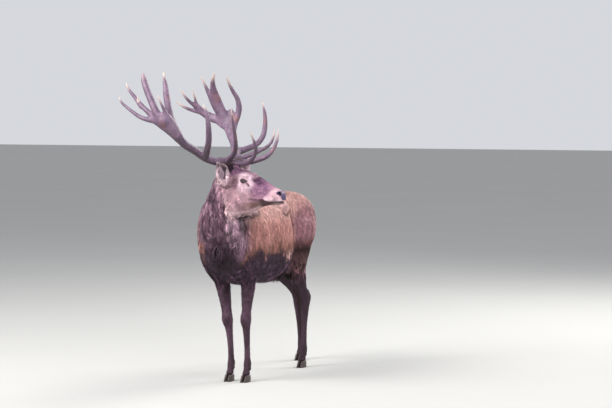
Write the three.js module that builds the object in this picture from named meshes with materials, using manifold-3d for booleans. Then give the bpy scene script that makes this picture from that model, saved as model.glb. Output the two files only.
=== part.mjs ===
// A life-size red deer stag, standing still with its head turned to its left.
// Millimetres, +Z up. The stag faces -Y, and its left side is +X.
// The outlines are those of the coat's tips. The flesh is modelled whole and parted with thin cuts.

import * as THREE from 'three';
import { mergeVertices } from 'three/addons/utils/BufferGeometryUtils.js';
import Module from 'manifold-3d';

const wasm = await Module();
wasm.setup();

// ---------------------------------------------------------------- driving dimensions

const GAP = 0.3;                 // clearance between neighbouring pieces
const FAR = 3000;                // size of the blocks that part the body

const TRUNK_SIDES = 22;
const NECK_SIDES = 18;
const HEAD_SIDES = 18;
const LEG_SIDES = 10;
const EAR_SIDES = 10;
const ANTLER_SIDES = 6;
const CLAW_SIDES = 12;
const BALL_SIDES = 10;

const POLL = new THREE.Vector3(30, -724, 1463);   // top of the skull between the ears
const HEAD_TURN = 86;                             // degrees from straight ahead to its left

// Trunk: distance back, sideways shift, top, widest height, bottom, half width, squareness
const TRUNK = [
  [-752, 4, 965, 915, 860, 40, 2.0],
  [-730, 4, 1040, 930, 800, 102, 2.0],
  [-680, 4, 1130, 945, 736, 168, 2.0],
  [-600, 4, 1215, 960, 690, 216, 2.1],
  [-500, 4, 1268, 965, 662, 226, 2.1],
  [-400, 6, 1285, 960, 655, 222, 2.1],
  [-250, 4, 1262, 940, 652, 226, 2.1],
  [-100, 2, 1236, 925, 648, 228, 2.1],
  [20, 2, 1230, 920, 652, 214, 2.15],
  [120, 3, 1242, 925, 672, 182, 2.2],
  [230, 6, 1260, 940, 712, 170, 2.3],
  [340, 10, 1272, 960, 756, 184, 2.4],
  [440, 14, 1258, 980, 800, 186, 2.3],
  [520, 18, 1222, 1000, 850, 158, 2.2],
  [575, 20, 1165, 1015, 900, 108, 2.0],
  [598, 21, 1100, 1020, 950, 50, 2.0],
];

// Masses that round the body out: centre, half sizes
const HIP_BONES = [
  { centre: [106, 160, 1158], half: [46, 110, 66] },
  { centre: [-94, 160, 1158], half: [46, 110, 66] },
];
const SHOULDERS = [
  { centre: [112, -490, 930], half: [122, 160, 262] },
  { centre: [-122, -490, 930], half: [124, 160, 262] },
];

// Neck and mane, from the chest up to the back of the head:
// centre, half size across, half size from throat to nape
const NECK = [
  { at: [0, -480, 960], across: 176, deep: 176 },
  { at: [-4, -562, 1024], across: 204, deep: 202 },
  { at: [-6, -620, 1080], across: 196, deep: 200 },
  { at: [2, -656, 1165], across: 162, deep: 196 },
  { at: [26, -692, 1262], across: 128, deep: 164 },
  { at: [52, -716, 1350], across: 96, deep: 118 },
  { at: [78, -727, 1408], across: 70, deep: 74 },
];

// Head, in its own frame: forward, left, up from the poll.
// Distance forward, top, widest height, bottom, half width, squareness
const HEAD = [
  [-42, -52, -110, -170, 46, 2.0],
  [-18, -16, -110, -222, 70, 2.1],
  [30, 0, -115, -272, 84, 2.2],
  [95, -2, -120, -304, 88, 2.3],
  [150, -9, -118, -312, 86, 2.3],
  [195, -19, -116, -298, 79, 2.3],
  [240, -34, -126, -280, 64, 2.3],
  [290, -58, -140, -258, 52, 2.3],
  [338, -85, -156, -246, 44, 2.3],
  [382, -114, -172, -241, 40, 2.4],
  [416, -130, -182, -236, 42, 2.5],
  [440, -142, -186, -226, 38, 2.4],
  [458, -162, -188, -211, 26, 2.2],
];
const BROW_RIDGE = { forward: 178, side: 60, up: -52, half: [46, 25, 24] };
const EYE = { forward: 190, side: 70.5, up: -81, radius: 20 };
const NOSTRIL_WING = { forward: 434, side: 27, up: -166, half: [20, 15, 20] };
const PEDICLE = { from: [74, 44, -40], to: [68, 55, 22], radius: 27 };

// Ears, in the head's frame: centre line from base to tip, half width and half thickness.
// The hollow has the same kind of rows, shifted out to the side that the ear opens to.
const EAR = [
  { at: [50, 62, -116], wide: 22, thick: 20 },
  { at: [56, 92, -84], wide: 32, thick: 24 },
  { at: [66, 124, -40], wide: 43, thick: 22 },
  { at: [76, 154, 4], wide: 37, thick: 15 },
  { at: [85, 176, 38], wide: 21, thick: 9 },
  { at: [90, 190, 60], wide: 5, thick: 4 },
];
const EAR_HOLLOW = [
  { at: [58, 118, -72], wide: 16, thick: 4 },
  { at: [64, 136, -50], wide: 38, thick: 16 },
  { at: [70, 154, -18], wide: 42, thick: 17 },
  { at: [78, 172, 14], wide: 33, thick: 12 },
  { at: [86, 186, 40], wide: 16, thick: 6 },
];
const EAR_WALL = 5;
const EAR_CUT = { at: [56, 90, -88], away: [0.1, 0.62, 0.78] };

// Legs, from the body down to the coronet: centre, half width, half depth
const FORE_LEG_LEFT = [
  [118, -500, 900, 70, 118],
  [102, -468, 775, 62, 92],
  [88, -455, 680, 51, 62],
  [79, -457, 575, 42, 47],
  [74, -460, 485, 34, 38],
  [71, -464, 418, 36, 40],
  [72, -458, 352, 27, 32],
  [74, -453, 250, 22, 27],
  [75, -450, 165, 22, 28],
  [76, -450, 118, 28, 33],
  [77, -466, 78, 24, 28],
  [78, -482, 46, 28, 36],
];
const FORE_LEG_RIGHT = [
  [-152, -505, 900, 74, 118],
  [-132, -470, 775, 64, 92],
  [-112, -455, 680, 53, 64],
  [-91, -457, 575, 43, 48],
  [-76, -460, 485, 36, 39],
  [-66, -464, 412, 37, 40],
  [-58, -458, 350, 27, 32],
  [-50, -453, 250, 22, 27],
  [-47, -450, 165, 22, 28],
  [-46, -450, 118, 28, 33],
  [-45, -466, 78, 24, 28],
  [-44, -482, 46, 28, 36],
];
const HIND_LEG_LEFT = [
  [112, 330, 1110, 44, 90],
  [146, 334, 1040, 76, 148],
  [157, 322, 960, 78, 158],
  [155, 284, 870, 71, 150],
  [150, 262, 785, 61, 120],
  [143, 286, 700, 51, 82],
  [134, 324, 622, 41, 57],
  [125, 392, 556, 33, 48],
  [118, 466, 500, 35, 60],
  [117, 462, 425, 29, 42],
  [117, 448, 310, 22, 29],
  [118, 436, 185, 22, 28],
  [119, 429, 118, 28, 34],
  [120, 410, 78, 24, 28],
  [121, 393, 46, 28, 37],
];
const HIND_LEG_RIGHT = [
  [-84, 340, 1110, 44, 90],
  [-118, 352, 1040, 76, 146],
  [-132, 362, 960, 78, 156],
  [-138, 372, 870, 71, 144],
  [-138, 400, 785, 60, 118],
  [-124, 470, 695, 50, 88],
  [-100, 566, 618, 41, 66],
  [-80, 672, 545, 33, 56],
  [-68, 748, 488, 35, 62],
  [-67, 758, 415, 29, 42],
  [-65, 776, 305, 22, 29],
  [-63, 800, 185, 22, 28],
  [-62, 812, 118, 28, 34],
  [-61, 795, 78, 24, 28],
  [-60, 779, 46, 28, 37],
];
const DEW_CLAW = { apart: 15, back: 27, up: 88, half: [10, 13, 17] };

// Claws of a cloven hoof, measured from the middle of the coronet
const CLAW = { apart: 15.8, halfWidth: 14.2, toe: 62, heel: 34, height: 45 };
const CLAW_TOP = { toe: 34, heel: 33, halfWidth: 13 };

const TAIL = [
  { at: [20, 555, 1140], radius: 26 },
  { at: [22, 608, 1120], radius: 31 },
  { at: [22, 630, 1060], radius: 30 },
  { at: [22, 628, 1000], radius: 20 },
  { at: [22, 622, 968], radius: 8 },
];

// Antlers, in the head's frame. Each branch lists its centre line and its radii, root first.
// A second radius is the half width of a palm, where the beam is flattened.
const BURR = { height: 16, radius: 34 };
const ANTLER_RIGHT = {
  beam: [[68, -55, 16, 27], [60, -72, 42, 26], [42, -108, 48, 25], [14, -152, 50, 26],
    [-24, -208, 74, 27], [-62, -272, 118, 26], [-98, -338, 160, 27], [-122, -398, 210, 27, 32],
    [-152, -438, 262, 25, 42], [-188, -462, 308, 22, 52], [-220, -470, 340, 14, 48]],
  brow: [[64, -60, 45, 18], [100, -66, 43, 19], [166, -76, 33, 18], [236, -100, 44, 16],
    [292, -126, 80, 14], [322, -150, 127, 12], [327, -175, 174, 10], [318, -192, 212, 7],
    [308, -208, 246, 2.5]],
  bez: [[58, -80, 46, 17], [106, -92, 76, 17], [150, -122, 112, 15], [183, -170, 166, 13.5],
    [204, -220, 232, 12], [218, -268, 300, 9], [226, -300, 356, 6], [227, -310, 396, 2.5]],
  trez: [[-24, -208, 74, 20], [26, -275, 122, 21], [84, -356, 186, 20], [107, -396, 262, 18],
    [106, -407, 330, 15], [96, -414, 386, 10], [79, -418, 424, 3]],
  crown_fore: [[-112, -410, 224, 19], [-136, -424, 290, 22], [-164, -424, 345, 23],
    [-184, -415, 405, 22], [-204, -405, 477, 21], [-220, -390, 545, 17], [-240, -372, 600, 10],
    [-253, -360, 637, 3]],
  crown_inner: [[-146, -444, 300, 13], [-172, -468, 366, 12], [-198, -490, 440, 8],
    [-216, -500, 486, 2.5]],
  crown_top: [[-190, -464, 312, 22], [-246, -466, 376, 24], [-296, -446, 452, 23],
    [-342, -422, 520, 22], [-376, -402, 582, 20], [-390, -390, 622, 10]],
  crown_rear: [[-196, -466, 316, 18], [-262, -456, 342, 18], [-322, -440, 376, 17],
    [-398, -421, 428, 14], [-446, -404, 472, 12], [-504, -385, 524, 9], [-534, -370, 568, 2.5]],
  crown_low: [[-180, -462, 306, 18], [-270, -466, 318, 17], [-372, -450, 340, 14],
    [-466, -420, 384, 11], [-556, -390, 436, 8], [-585, -375, 476, 2.5]],
  crown_spur: [[-384, -422, 412, 9], [-402, -432, 446, 7], [-406, -440, 480, 2]],
};
const ANTLER_LEFT = {
  beam: [[68, 55, 16, 27], [60, 72, 42, 26], [34, 118, 62, 25], [-12, 186, 94, 26],
    [-56, 252, 124, 26], [-110, 330, 166, 26], [-156, 390, 208, 27, 33], [-192, 434, 262, 25, 46],
    [-222, 458, 306, 21, 70], [-256, 468, 342, 14, 74]],
  brow: [[64, 60, 45, 18], [100, 69, 43, 19], [156, 88, 43, 18], [236, 120, 68, 16],
    [274, 145, 100, 14], [298, 170, 152, 12], [307, 188, 208, 8], [304, 205, 264, 2.5]],
  bez: [[52, 84, 48, 16], [96, 112, 70, 15], [160, 162, 104, 13], [206, 204, 134, 12],
    [236, 224, 166, 10], [249, 236, 206, 8], [253, 250, 253, 2.5]],
  trez: [[-12, 186, 94, 20], [18, 262, 118, 21], [60, 340, 150, 19], [92, 380, 206, 18],
    [100, 398, 284, 16], [92, 409, 358, 12], [78, 416, 404, 7], [67, 420, 439, 2.5]],
  crown_fore: [[-176, 410, 236, 20], [-166, 446, 290, 22], [-152, 468, 345, 21],
    [-144, 474, 400, 20], [-148, 460, 460, 17], [-166, 430, 512, 14], [-182, 400, 566, 10],
    [-186, 370, 614, 2.5]],
  crown_front: [[-234, 462, 316, 24], [-278, 460, 390, 26], [-302, 436, 468, 25],
    [-308, 408, 538, 19], [-298, 384, 588, 13], [-273, 360, 638, 4]],
  crown_mid: [[-262, 466, 350, 22], [-322, 454, 420, 20], [-350, 430, 486, 17],
    [-372, 408, 550, 11], [-394, 385, 615, 2.5]],
  crown_rear: [[-258, 470, 338, 20], [-330, 476, 342, 20], [-400, 474, 352, 19],
    [-440, 462, 384, 16], [-490, 422, 428, 12], [-524, 390, 476, 9], [-547, 365, 529, 2.5]],
  crown_low: [[-386, 476, 350, 14], [-446, 460, 366, 13], [-500, 440, 382, 12],
    [-548, 408, 406, 9], [-586, 375, 441, 2.5]],
  crown_spur: [[-440, 462, 384, 10], [-468, 446, 438, 9], [-476, 432, 486, 6],
    [-481, 420, 528, 2]],
};

// ---------------------------------------------------------------- materials

function finish(colour, roughness) {
  return new THREE.MeshStandardMaterial({ color: colour, roughness, metalness: 0 });
}

const COAT = finish(0x8a6548, 0.85);
const MANE = finish(0x5f4c44, 0.9);
const DARK_LEG = finish(0x40302b, 0.85);
const FACE = finish(0x8b7468, 0.85);
const ANTLER = finish(0xb09a92, 0.6);
const HORN = finish(0x2a2422, 0.45);
const EYE_DARK = finish(0x1c100c, 0.1);

// ---------------------------------------------------------------- solids from rings

function signedPower(value, power) {
  return Math.sign(value) * Math.abs(value) ** power;
}

/** One closed oval: half width, then its own height above and below the widest line. */
function oval(centre, sideways, upwards, size, sides) {
  const points = [];
  for (let i = 0; i < sides; i += 1) {
    const angle = (2 * Math.PI * i) / sides;
    const across = signedPower(Math.cos(angle), 2 / size.squareness) * size.across;
    const height = signedPower(Math.sin(angle), 2 / size.squareness);
    const along = height * (height > 0 ? size.above : size.below);
    points.push(centre.clone().addScaledVector(sideways, across).addScaledVector(upwards, along));
  }
  return points;
}

/** A closed surface through rings of equal count, with a fan at each end. */
function loft(rings, firstTip, lastTip) {
  const sides = rings[0].length;
  const count = rings.length;
  const points = [...rings.flat(), firstTip, lastTip];
  const faces = [];
  for (let r = 0; r < count - 1; r += 1) {
    for (let s = 0; s < sides; s += 1) {
      const next = (s + 1) % sides;
      const a = r * sides + s;
      const b = r * sides + next;
      faces.push(a, b, b + sides, a, b + sides, a + sides);
    }
  }
  const first = count * sides;
  const last = first + 1;
  for (let s = 0; s < sides; s += 1) {
    const next = (s + 1) % sides;
    faces.push(first, next, s);
    faces.push(last, (count - 1) * sides + s, (count - 1) * sides + next);
  }
  const geometry = new THREE.BufferGeometry();
  geometry.setAttribute('position', new THREE.Float32BufferAttribute(points.flatMap((p) => [...p]), 3));
  geometry.setIndex(faces);
  return geometry;
}

function centreOf(ring) {
  const sum = new THREE.Vector3();
  for (const point of ring) {
    sum.add(point);
  }
  return sum.divideScalar(ring.length);
}

/** Catmull-Rom values between the rows of a table of sizes. */
function smooth(rows, steps) {
  const out = [];
  for (let i = 0; i < rows.length - 1; i += 1) {
    const before = rows[Math.max(i - 1, 0)];
    const after = rows[Math.min(i + 2, rows.length - 1)];
    for (let k = 0; k < steps; k += 1) {
      const t = k / steps;
      out.push(rows[i].map((start, c) => {
        const end = rows[i + 1][c];
        const leave = (end - before[c]) / 2;
        const arrive = (after[c] - start) / 2;
        const bend = 3 * (end - start) - 2 * leave - arrive;
        const twist = 2 * (start - end) + leave + arrive;
        return start + leave * t + bend * t * t + twist * t * t * t;
      }));
    }
  }
  out.push(rows[rows.length - 1]);
  return out;
}

// ---------------------------------------------------------------- joining and cutting

function solid(geometry) {
  const bare = geometry.clone();
  bare.deleteAttribute('normal');
  bare.deleteAttribute('uv');
  const merged = mergeVertices(bare, 1e-4);
  const shape = new wasm.Manifold(new wasm.Mesh({
    numProp: 3,
    vertProperties: new Float32Array(merged.attributes.position.array),
    triVerts: new Uint32Array(merged.index.array),
  }));
  if (shape.volume() < 0) {
    throw new Error('a solid is inside out');
  }
  return shape;
}

function union(shapes) {
  return shapes.reduce((all, shape) => all.add(shape));
}

function toGeometry(shape) {
  const mesh = shape.getMesh();
  const geometry = new THREE.BufferGeometry();
  geometry.setAttribute('position', new THREE.BufferAttribute(new Float32Array(mesh.vertProperties), 3));
  geometry.setIndex(new THREE.BufferAttribute(new Uint32Array(mesh.triVerts), 1));
  geometry.computeVertexNormals();
  return geometry;
}

function ellipsoid(centre, half, sides = BALL_SIDES) {
  const geometry = new THREE.SphereGeometry(1, sides, Math.round(sides * 0.6));
  geometry.scale(...half);
  geometry.translate(...centre);
  return solid(geometry);
}

/** A block between two corners, grown on every side. */
function block(low, high, grow) {
  const size = high.map((value, axis) => value - low[axis] + 2 * grow);
  const geometry = new THREE.BoxGeometry(...size);
  geometry.translate(...high.map((value, axis) => (value + low[axis]) / 2));
  return solid(geometry);
}

/** Everything on the side of a plane that its normal points to. */
function beyond(point, normal, grow) {
  const geometry = new THREE.BoxGeometry(FAR, FAR, FAR);
  geometry.translate(0, 0, FAR / 2 - grow);
  const direction = new THREE.Vector3(...normal).normalize();
  geometry.applyQuaternion(new THREE.Quaternion().setFromUnitVectors(new THREE.Vector3(0, 0, 1), direction));
  geometry.translate(...point);
  return solid(geometry);
}

/** The largest body of a cut, so that no loose chip of a cut stays. */
function mainBody(shape) {
  const bodies = shape.decompose();
  bodies.sort((a, b) => b.volume() - a.volume());
  return bodies[0];
}

// ---------------------------------------------------------------- frame of the head

const headTurn = THREE.MathUtils.degToRad(HEAD_TURN - 90);
const headPlace = new THREE.Matrix4().makeRotationZ(headTurn).setPosition(POLL);

function mirrored(point, side) {
  return [point[0], point[1] * side, point[2]];
}

// ---------------------------------------------------------------- flesh

const SIDEWAYS = new THREE.Vector3(1, 0, 0);
const BACKWARDS = new THREE.Vector3(0, 1, 0);
const UPWARDS = new THREE.Vector3(0, 0, 1);

function trunkShape() {
  const rings = smooth(TRUNK, 1).map(([back, shift, top, widest, bottom, half, squareness]) => {
    const size = { across: half, above: top - widest, below: widest - bottom, squareness };
    return oval(new THREE.Vector3(shift, back, widest), SIDEWAYS.clone().negate(), UPWARDS, size, TRUNK_SIDES);
  });
  const shape = solid(loft(rings, centreOf(rings[0]), centreOf(rings[rings.length - 1])));
  const masses = [...HIP_BONES, ...SHOULDERS].map(({ centre, half }) => ellipsoid(centre, half));
  return union([shape, ...masses]);
}

/** Rings square to a centre line, with their own width and depth. */
function limb(path, sides, reference) {
  const rings = path.map(({ at, across, deep }, i) => {
    const centre = new THREE.Vector3(...at);
    const before = new THREE.Vector3(...path[Math.max(i - 1, 0)].at);
    const after = new THREE.Vector3(...path[Math.min(i + 1, path.length - 1)].at);
    const ahead = after.sub(before).normalize();
    const sideways = reference.clone().addScaledVector(ahead, -reference.dot(ahead)).normalize();
    const upwards = new THREE.Vector3().crossVectors(ahead, sideways);
    return oval(centre, sideways, upwards, { across, above: deep, below: deep, squareness: 2 }, sides);
  });
  return loft(rings, centreOf(rings[0]), centreOf(rings[rings.length - 1]));
}

function pathRows(path, keys) {
  return path.map((station) => [...station.at, ...keys.map((key) => station[key])]);
}

function neckShape() {
  const stations = smooth(pathRows(NECK, ['across', 'deep']), 1).map(([x, y, z, across, deep]) => (
    { at: [x, y, z], across, deep }));
  return solid(limb(stations, NECK_SIDES, SIDEWAYS));
}

function headShape() {
  const rings = smooth(HEAD, 1).map(([forward, top, widest, bottom, half, squareness]) => {
    const size = { across: half, above: top - widest, below: widest - bottom, squareness };
    return oval(new THREE.Vector3(forward, 0, widest), BACKWARDS, UPWARDS, size, HEAD_SIDES);
  });
  const skull = solid(loft(rings, centreOf(rings[0]), centreOf(rings[rings.length - 1])));
  const parts = [skull];
  for (const side of [1, -1]) {
    const ridge = BROW_RIDGE;
    const wing = NOSTRIL_WING;
    parts.push(ellipsoid([ridge.forward, side * ridge.side, ridge.up], ridge.half));
    parts.push(ellipsoid([wing.forward, side * wing.side, wing.up], wing.half));
    parts.push(pedicleShape(side));
    parts.push(earLimb(side, EAR, 0));
  }
  return union(parts).transform(headPlace.elements);
}

function pedicleShape(side) {
  const { from, to, radius } = PEDICLE;
  const path = [from, to].map((point) => ({ at: mirrored(point, side), across: radius, deep: radius }));
  return solid(limb(path, LEG_SIDES, new THREE.Vector3(1, 0, 0)));
}

function earLimb(side, stations, grow) {
  const path = stations.map(({ at, wide, thick }) => (
    { at: mirrored(at, side), across: wide + grow, deep: thick + grow }));
  return solid(limb(path, EAR_SIDES, new THREE.Vector3(1, 0, 0)));
}

/** The leaf of an ear, hollowed from the side that it opens to. */
function earShape(side) {
  const hollow = EAR_HOLLOW.map(({ at, wide, thick }) => ({ at, wide: wide - EAR_WALL, thick }));
  return earLimb(side, EAR, 0).subtract(earLimb(side, hollow, 0)).intersect(earCut(side, 0))
    .transform(headPlace.elements);
}

/** The room that an ear takes up in the head. */
function earRoom(side) {
  return earLimb(side, EAR, GAP).intersect(earCut(side, GAP)).transform(headPlace.elements);
}

function earCut(side, grow) {
  return beyond(mirrored(EAR_CUT.at, side), mirrored(EAR_CUT.away, side), grow);
}

function legShape(stations) {
  const rings = smooth(stations, 1).map(([x, y, z, across, deep]) => {
    const size = { across, above: deep, below: deep, squareness: 2.1 };
    return oval(new THREE.Vector3(x, y, z), SIDEWAYS, BACKWARDS.clone().negate(), size, LEG_SIDES);
  });
  const leg = solid(loft(rings, centreOf(rings[0]), centreOf(rings[rings.length - 1])));
  const [x, y] = stations[stations.length - 2];
  const dewClaws = [1, -1].map((side) => (
    ellipsoid([x + side * DEW_CLAW.apart, y + DEW_CLAW.back, DEW_CLAW.up], DEW_CLAW.half, 7)));
  return union([leg, ...dewClaws]);
}

function tailShape() {
  const stations = smooth(pathRows(TAIL, ['radius']), 1).map(([x, y, z, radius]) => (
    { at: [x, y, z], across: radius, deep: radius * 0.7 }));
  return solid(limb(stations, LEG_SIDES, SIDEWAYS));
}

// ---------------------------------------------------------------- claws, eyes and antlers

/** One claw: flat below, rounded outside, straighter where it meets its twin. */
function clawShape(stations, side) {
  const [x, y] = stations[stations.length - 1];
  const ring = (z, toe, heel, half) => {
    const centre = new THREE.Vector3(x + side * CLAW.apart, y - (toe - heel) / 2, z);
    const size = { across: half, above: (toe + heel) / 2, below: (toe + heel) / 2, squareness: 2.3 };
    const points = oval(centre, SIDEWAYS, BACKWARDS.clone().negate(), size, CLAW_SIDES);
    for (const point of points) {
      const forward = Math.max(centre.y - point.y, 0) / size.above;
      point.x = centre.x + (point.x - centre.x) * (1 - 0.45 * forward ** 2) - side * 3 * forward ** 2;
    }
    return points;
  };
  const rings = [
    ring(CLAW.height - GAP, CLAW_TOP.toe, CLAW_TOP.heel, CLAW_TOP.halfWidth),
    ring(CLAW.height * 0.5, (CLAW_TOP.toe + CLAW.toe) / 2, CLAW.heel, CLAW.halfWidth),
    ring(4, CLAW.toe, CLAW.heel, CLAW.halfWidth),
    ring(0, CLAW.toe - 2, CLAW.heel - 2, CLAW.halfWidth - 1.5),
  ];
  return solid(loft(rings, centreOf(rings[0]), centreOf(rings[3])));
}

function eyeShape(side, grow) {
  const geometry = new THREE.SphereGeometry(EYE.radius + grow, BALL_SIDES, 6);
  geometry.rotateX(Math.PI / 2);
  geometry.translate(EYE.forward, side * EYE.side, EYE.up);
  geometry.applyMatrix4(headPlace);
  return solid(geometry);
}

function branchShape(branch, grow) {
  const path = branch.map(([x, y, z, radius, palm = radius]) => (
    { at: [x, y, z], across: palm + grow, deep: radius + grow }));
  return solid(limb(path, ANTLER_SIDES, new THREE.Vector3(0.9, 0.1, 0.3).normalize()));
}

function burrShape(side) {
  const up = new THREE.Vector3(...mirrored(PEDICLE.to, side));
  const low = up.clone().addScaledVector(UPWARDS, -2);
  const high = up.clone().addScaledVector(UPWARDS, BURR.height);
  const path = [
    { at: [...low], across: BURR.radius - 3, deep: BURR.radius - 3 },
    { at: [...low.lerp(high, 0.4)], across: BURR.radius, deep: BURR.radius },
    { at: [...high], across: BURR.radius - 7, deep: BURR.radius - 7 },
  ];
  return solid(limb(path, LEG_SIDES, new THREE.Vector3(1, 0, 0)));
}

/** Each branch keeps clear of the ones it grows from, by the gap. */
function antlerNodes(branches, side, sideName) {
  const above = beyond([0, 0, PEDICLE.to[2]], [0, 0, 1], 0);
  const nodes = [];
  const earlier = [];
  for (const [name, branch] of Object.entries(branches)) {
    let shape = branchShape(branch, 0);
    let grown = branchShape(branch, GAP);
    if (name === 'beam') {
      shape = union([shape, burrShape(side)]).intersect(above);
      grown = union([grown, burrShape(side)]);
    }
    for (const other of earlier) {
      shape = shape.subtract(other);
    }
    earlier.push(grown);
    nodes.push([`antler_${sideName}_${name}`, mainBody(shape).transform(headPlace.elements)]);
  }
  return nodes;
}

// ---------------------------------------------------------------- the cuts between named parts

function headBlock(grow) {
  const behind = beyond([48, 0, -150], [0.9, 0, 0.42], grow);
  const reach = block([-90, -118, -322], [520, 118, 120], grow);
  return behind.intersect(reach).transform(headPlace.elements);
}

function burrBlock(grow) {
  return beyond([0, 0, PEDICLE.to[2]], [0, 0, 1], grow).transform(headPlace.elements);
}

function neckBlock(grow) {
  return beyond([0, -500, 1262], [0, -0.74, 0.67], grow);
}

function foreLegBlock(side, grow) {
  const middle = 14;
  const [low, high] = side > 0 ? [middle, 400] : [-400, middle - 2 * GAP];
  return block([low, -700, 40], [high, -300, 654], grow);
}

function hindLegBlock(side, grow) {
  const middle = 24;
  const inner = 26;
  const [low, high] = side > 0 ? [middle + inner, 500] : [-500, middle - inner];
  const top = beyond([0, 150, 880], [0, 0.28, -0.96], grow);
  return block([low, 140, 40], [high, 1100, 1150], grow).intersect(top);
}

function tailBlock(grow) {
  return block([-40, 602, 900], [90, 800, 1220], grow);
}

function soleBlock(grow) {
  return block([-600, -900, -200], [600, 1300, CLAW.height + GAP], grow);
}

// ---------------------------------------------------------------- assembly

const stag = new THREE.Group();

function addNode(name, shape, material) {
  const mesh = new THREE.Mesh(toGeometry(shape), material);
  mesh.name = name;
  stag.add(mesh);
}

function buildFlesh() {
  const legs = {
    fore_leg_left: FORE_LEG_LEFT,
    fore_leg_right: FORE_LEG_RIGHT,
    hind_leg_left: HIND_LEG_LEFT,
    hind_leg_right: HIND_LEG_RIGHT,
  };
  const flesh = union([trunkShape(), neckShape(), headShape(), tailShape(),
    ...Object.values(legs).map(legShape)]);
  const sockets = union([eyeShape(1, GAP), eyeShape(-1, GAP), earRoom(1), earRoom(-1)]);
  let rest = flesh.subtract(sockets).subtract(soleBlock(0)).subtract(burrBlock(GAP));
  addNode('ear_left', mainBody(earShape(1)), FACE);
  addNode('ear_right', mainBody(earShape(-1)), FACE);
  const cuts = [
    ['head', headBlock, FACE],
    ['neck', neckBlock, MANE],
    ['tail', tailBlock, COAT],
    ['fore_leg_left', (grow) => foreLegBlock(1, grow), DARK_LEG],
    ['fore_leg_right', (grow) => foreLegBlock(-1, grow), DARK_LEG],
    ['hind_leg_left', (grow) => hindLegBlock(1, grow), DARK_LEG],
    ['hind_leg_right', (grow) => hindLegBlock(-1, grow), DARK_LEG],
  ];
  for (const [name, region, material] of cuts) {
    addNode(name, mainBody(rest.intersect(region(0))), material);
    rest = rest.subtract(region(GAP));
  }
  addNode('trunk', mainBody(rest), COAT);
  for (const [name, stations] of Object.entries(legs)) {
    const foot = name.replace('leg', 'claw');
    addNode(`${foot}_a`, clawShape(stations, 1), HORN);
    addNode(`${foot}_b`, clawShape(stations, -1), HORN);
  }
}

function buildEyesAndAntlers() {
  addNode('eye_left', eyeShape(1, 0), EYE_DARK);
  addNode('eye_right', eyeShape(-1, 0), EYE_DARK);
  const antlers = [...antlerNodes(ANTLER_LEFT, 1, 'left'), ...antlerNodes(ANTLER_RIGHT, -1, 'right')];
  for (const [name, shape] of antlers) {
    addNode(name, shape, ANTLER);
  }
}

buildFlesh();
buildEyesAndAntlers();

// The origin is the middle of the stag's footprint box, on the ground.
const whole = new THREE.Box3().setFromObject(stag, true);
const middle = whole.getCenter(new THREE.Vector3());
for (const mesh of stag.children) {
  mesh.geometry.translate(-middle.x, -middle.y, -whole.min.z);
}

export default stag;
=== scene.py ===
"""Red deer stag, life size: one skin, a coat of tufts, antlers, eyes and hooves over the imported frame.

Tables are in millimetres in the drawing's own axes: +Z up, the stag faces -Y, its left is +X.
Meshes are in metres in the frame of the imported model.
"""

import math

import bpy
import numpy as np
from bpy.props import FloatProperty, FloatVectorProperty, IntProperty, PointerProperty
from bpy.types import Operator, Panel, PropertyGroup
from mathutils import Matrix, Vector
from mathutils.kdtree import KDTree


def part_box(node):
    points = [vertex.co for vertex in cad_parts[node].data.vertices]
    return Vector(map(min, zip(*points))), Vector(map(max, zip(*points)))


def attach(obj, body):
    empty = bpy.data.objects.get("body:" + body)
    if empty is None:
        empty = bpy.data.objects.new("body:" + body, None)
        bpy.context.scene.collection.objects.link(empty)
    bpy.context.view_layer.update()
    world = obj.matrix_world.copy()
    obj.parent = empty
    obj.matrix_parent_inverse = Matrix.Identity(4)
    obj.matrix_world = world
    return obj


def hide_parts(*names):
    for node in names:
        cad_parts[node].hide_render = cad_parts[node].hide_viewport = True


bl_info = {
    "name": "Red Deer Stag",
    "version": (1, 0, 0),
    "blender": (4, 5, 0),
    "location": "View3D > Sidebar > Stag",
    "description": "Builds the skin, coat, antlers, eyes and hooves of a life-size red deer stag",
    "category": "Add Mesh",
}

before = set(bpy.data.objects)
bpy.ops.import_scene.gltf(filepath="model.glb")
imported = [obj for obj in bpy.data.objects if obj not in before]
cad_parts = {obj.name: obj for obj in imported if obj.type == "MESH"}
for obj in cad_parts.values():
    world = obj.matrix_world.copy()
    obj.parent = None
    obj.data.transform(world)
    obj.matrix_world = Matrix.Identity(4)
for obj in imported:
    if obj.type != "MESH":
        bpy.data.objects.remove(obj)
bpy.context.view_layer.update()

# ------------------------------------------------------------------ sizes of the body

POLL = np.array([30.0, -724.0, 1463.0])
HEAD_YAW = math.radians(-4.0)
EYE_SEAT = (190.0, 70.5, -81.0)
EYE_RADIUS = 20.0
FOOT_TOP = 45.0
LID = {"half": 22.0, "top": 14.0, "low": 12.5, "tilt": math.radians(-5)}

# Back, shift, top, widest height, bottom, half width, squareness
TRUNK = [
    (-752, 4, 965, 915, 860, 40, 2.0), (-730, 4, 1040, 930, 800, 102, 2.0),
    (-680, 4, 1130, 945, 736, 168, 2.0), (-600, 4, 1215, 960, 690, 216, 2.1),
    (-500, 4, 1268, 965, 662, 226, 2.1), (-400, 6, 1285, 960, 655, 222, 2.1),
    (-250, 4, 1262, 940, 652, 226, 2.1), (-100, 2, 1236, 925, 648, 228, 2.1),
    (20, 2, 1230, 920, 652, 214, 2.15), (120, 3, 1242, 925, 672, 182, 2.2),
    (230, 6, 1260, 940, 712, 170, 2.3), (340, 10, 1272, 960, 756, 184, 2.4),
    (440, 14, 1260, 990, 800, 188, 2.5), (520, 20, 1226, 1020, 850, 164, 2.5),
    (573, 22, 1176, 1035, 900, 120, 2.2), (598, 21, 1100, 1020, 950, 50, 2.0),
]
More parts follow.
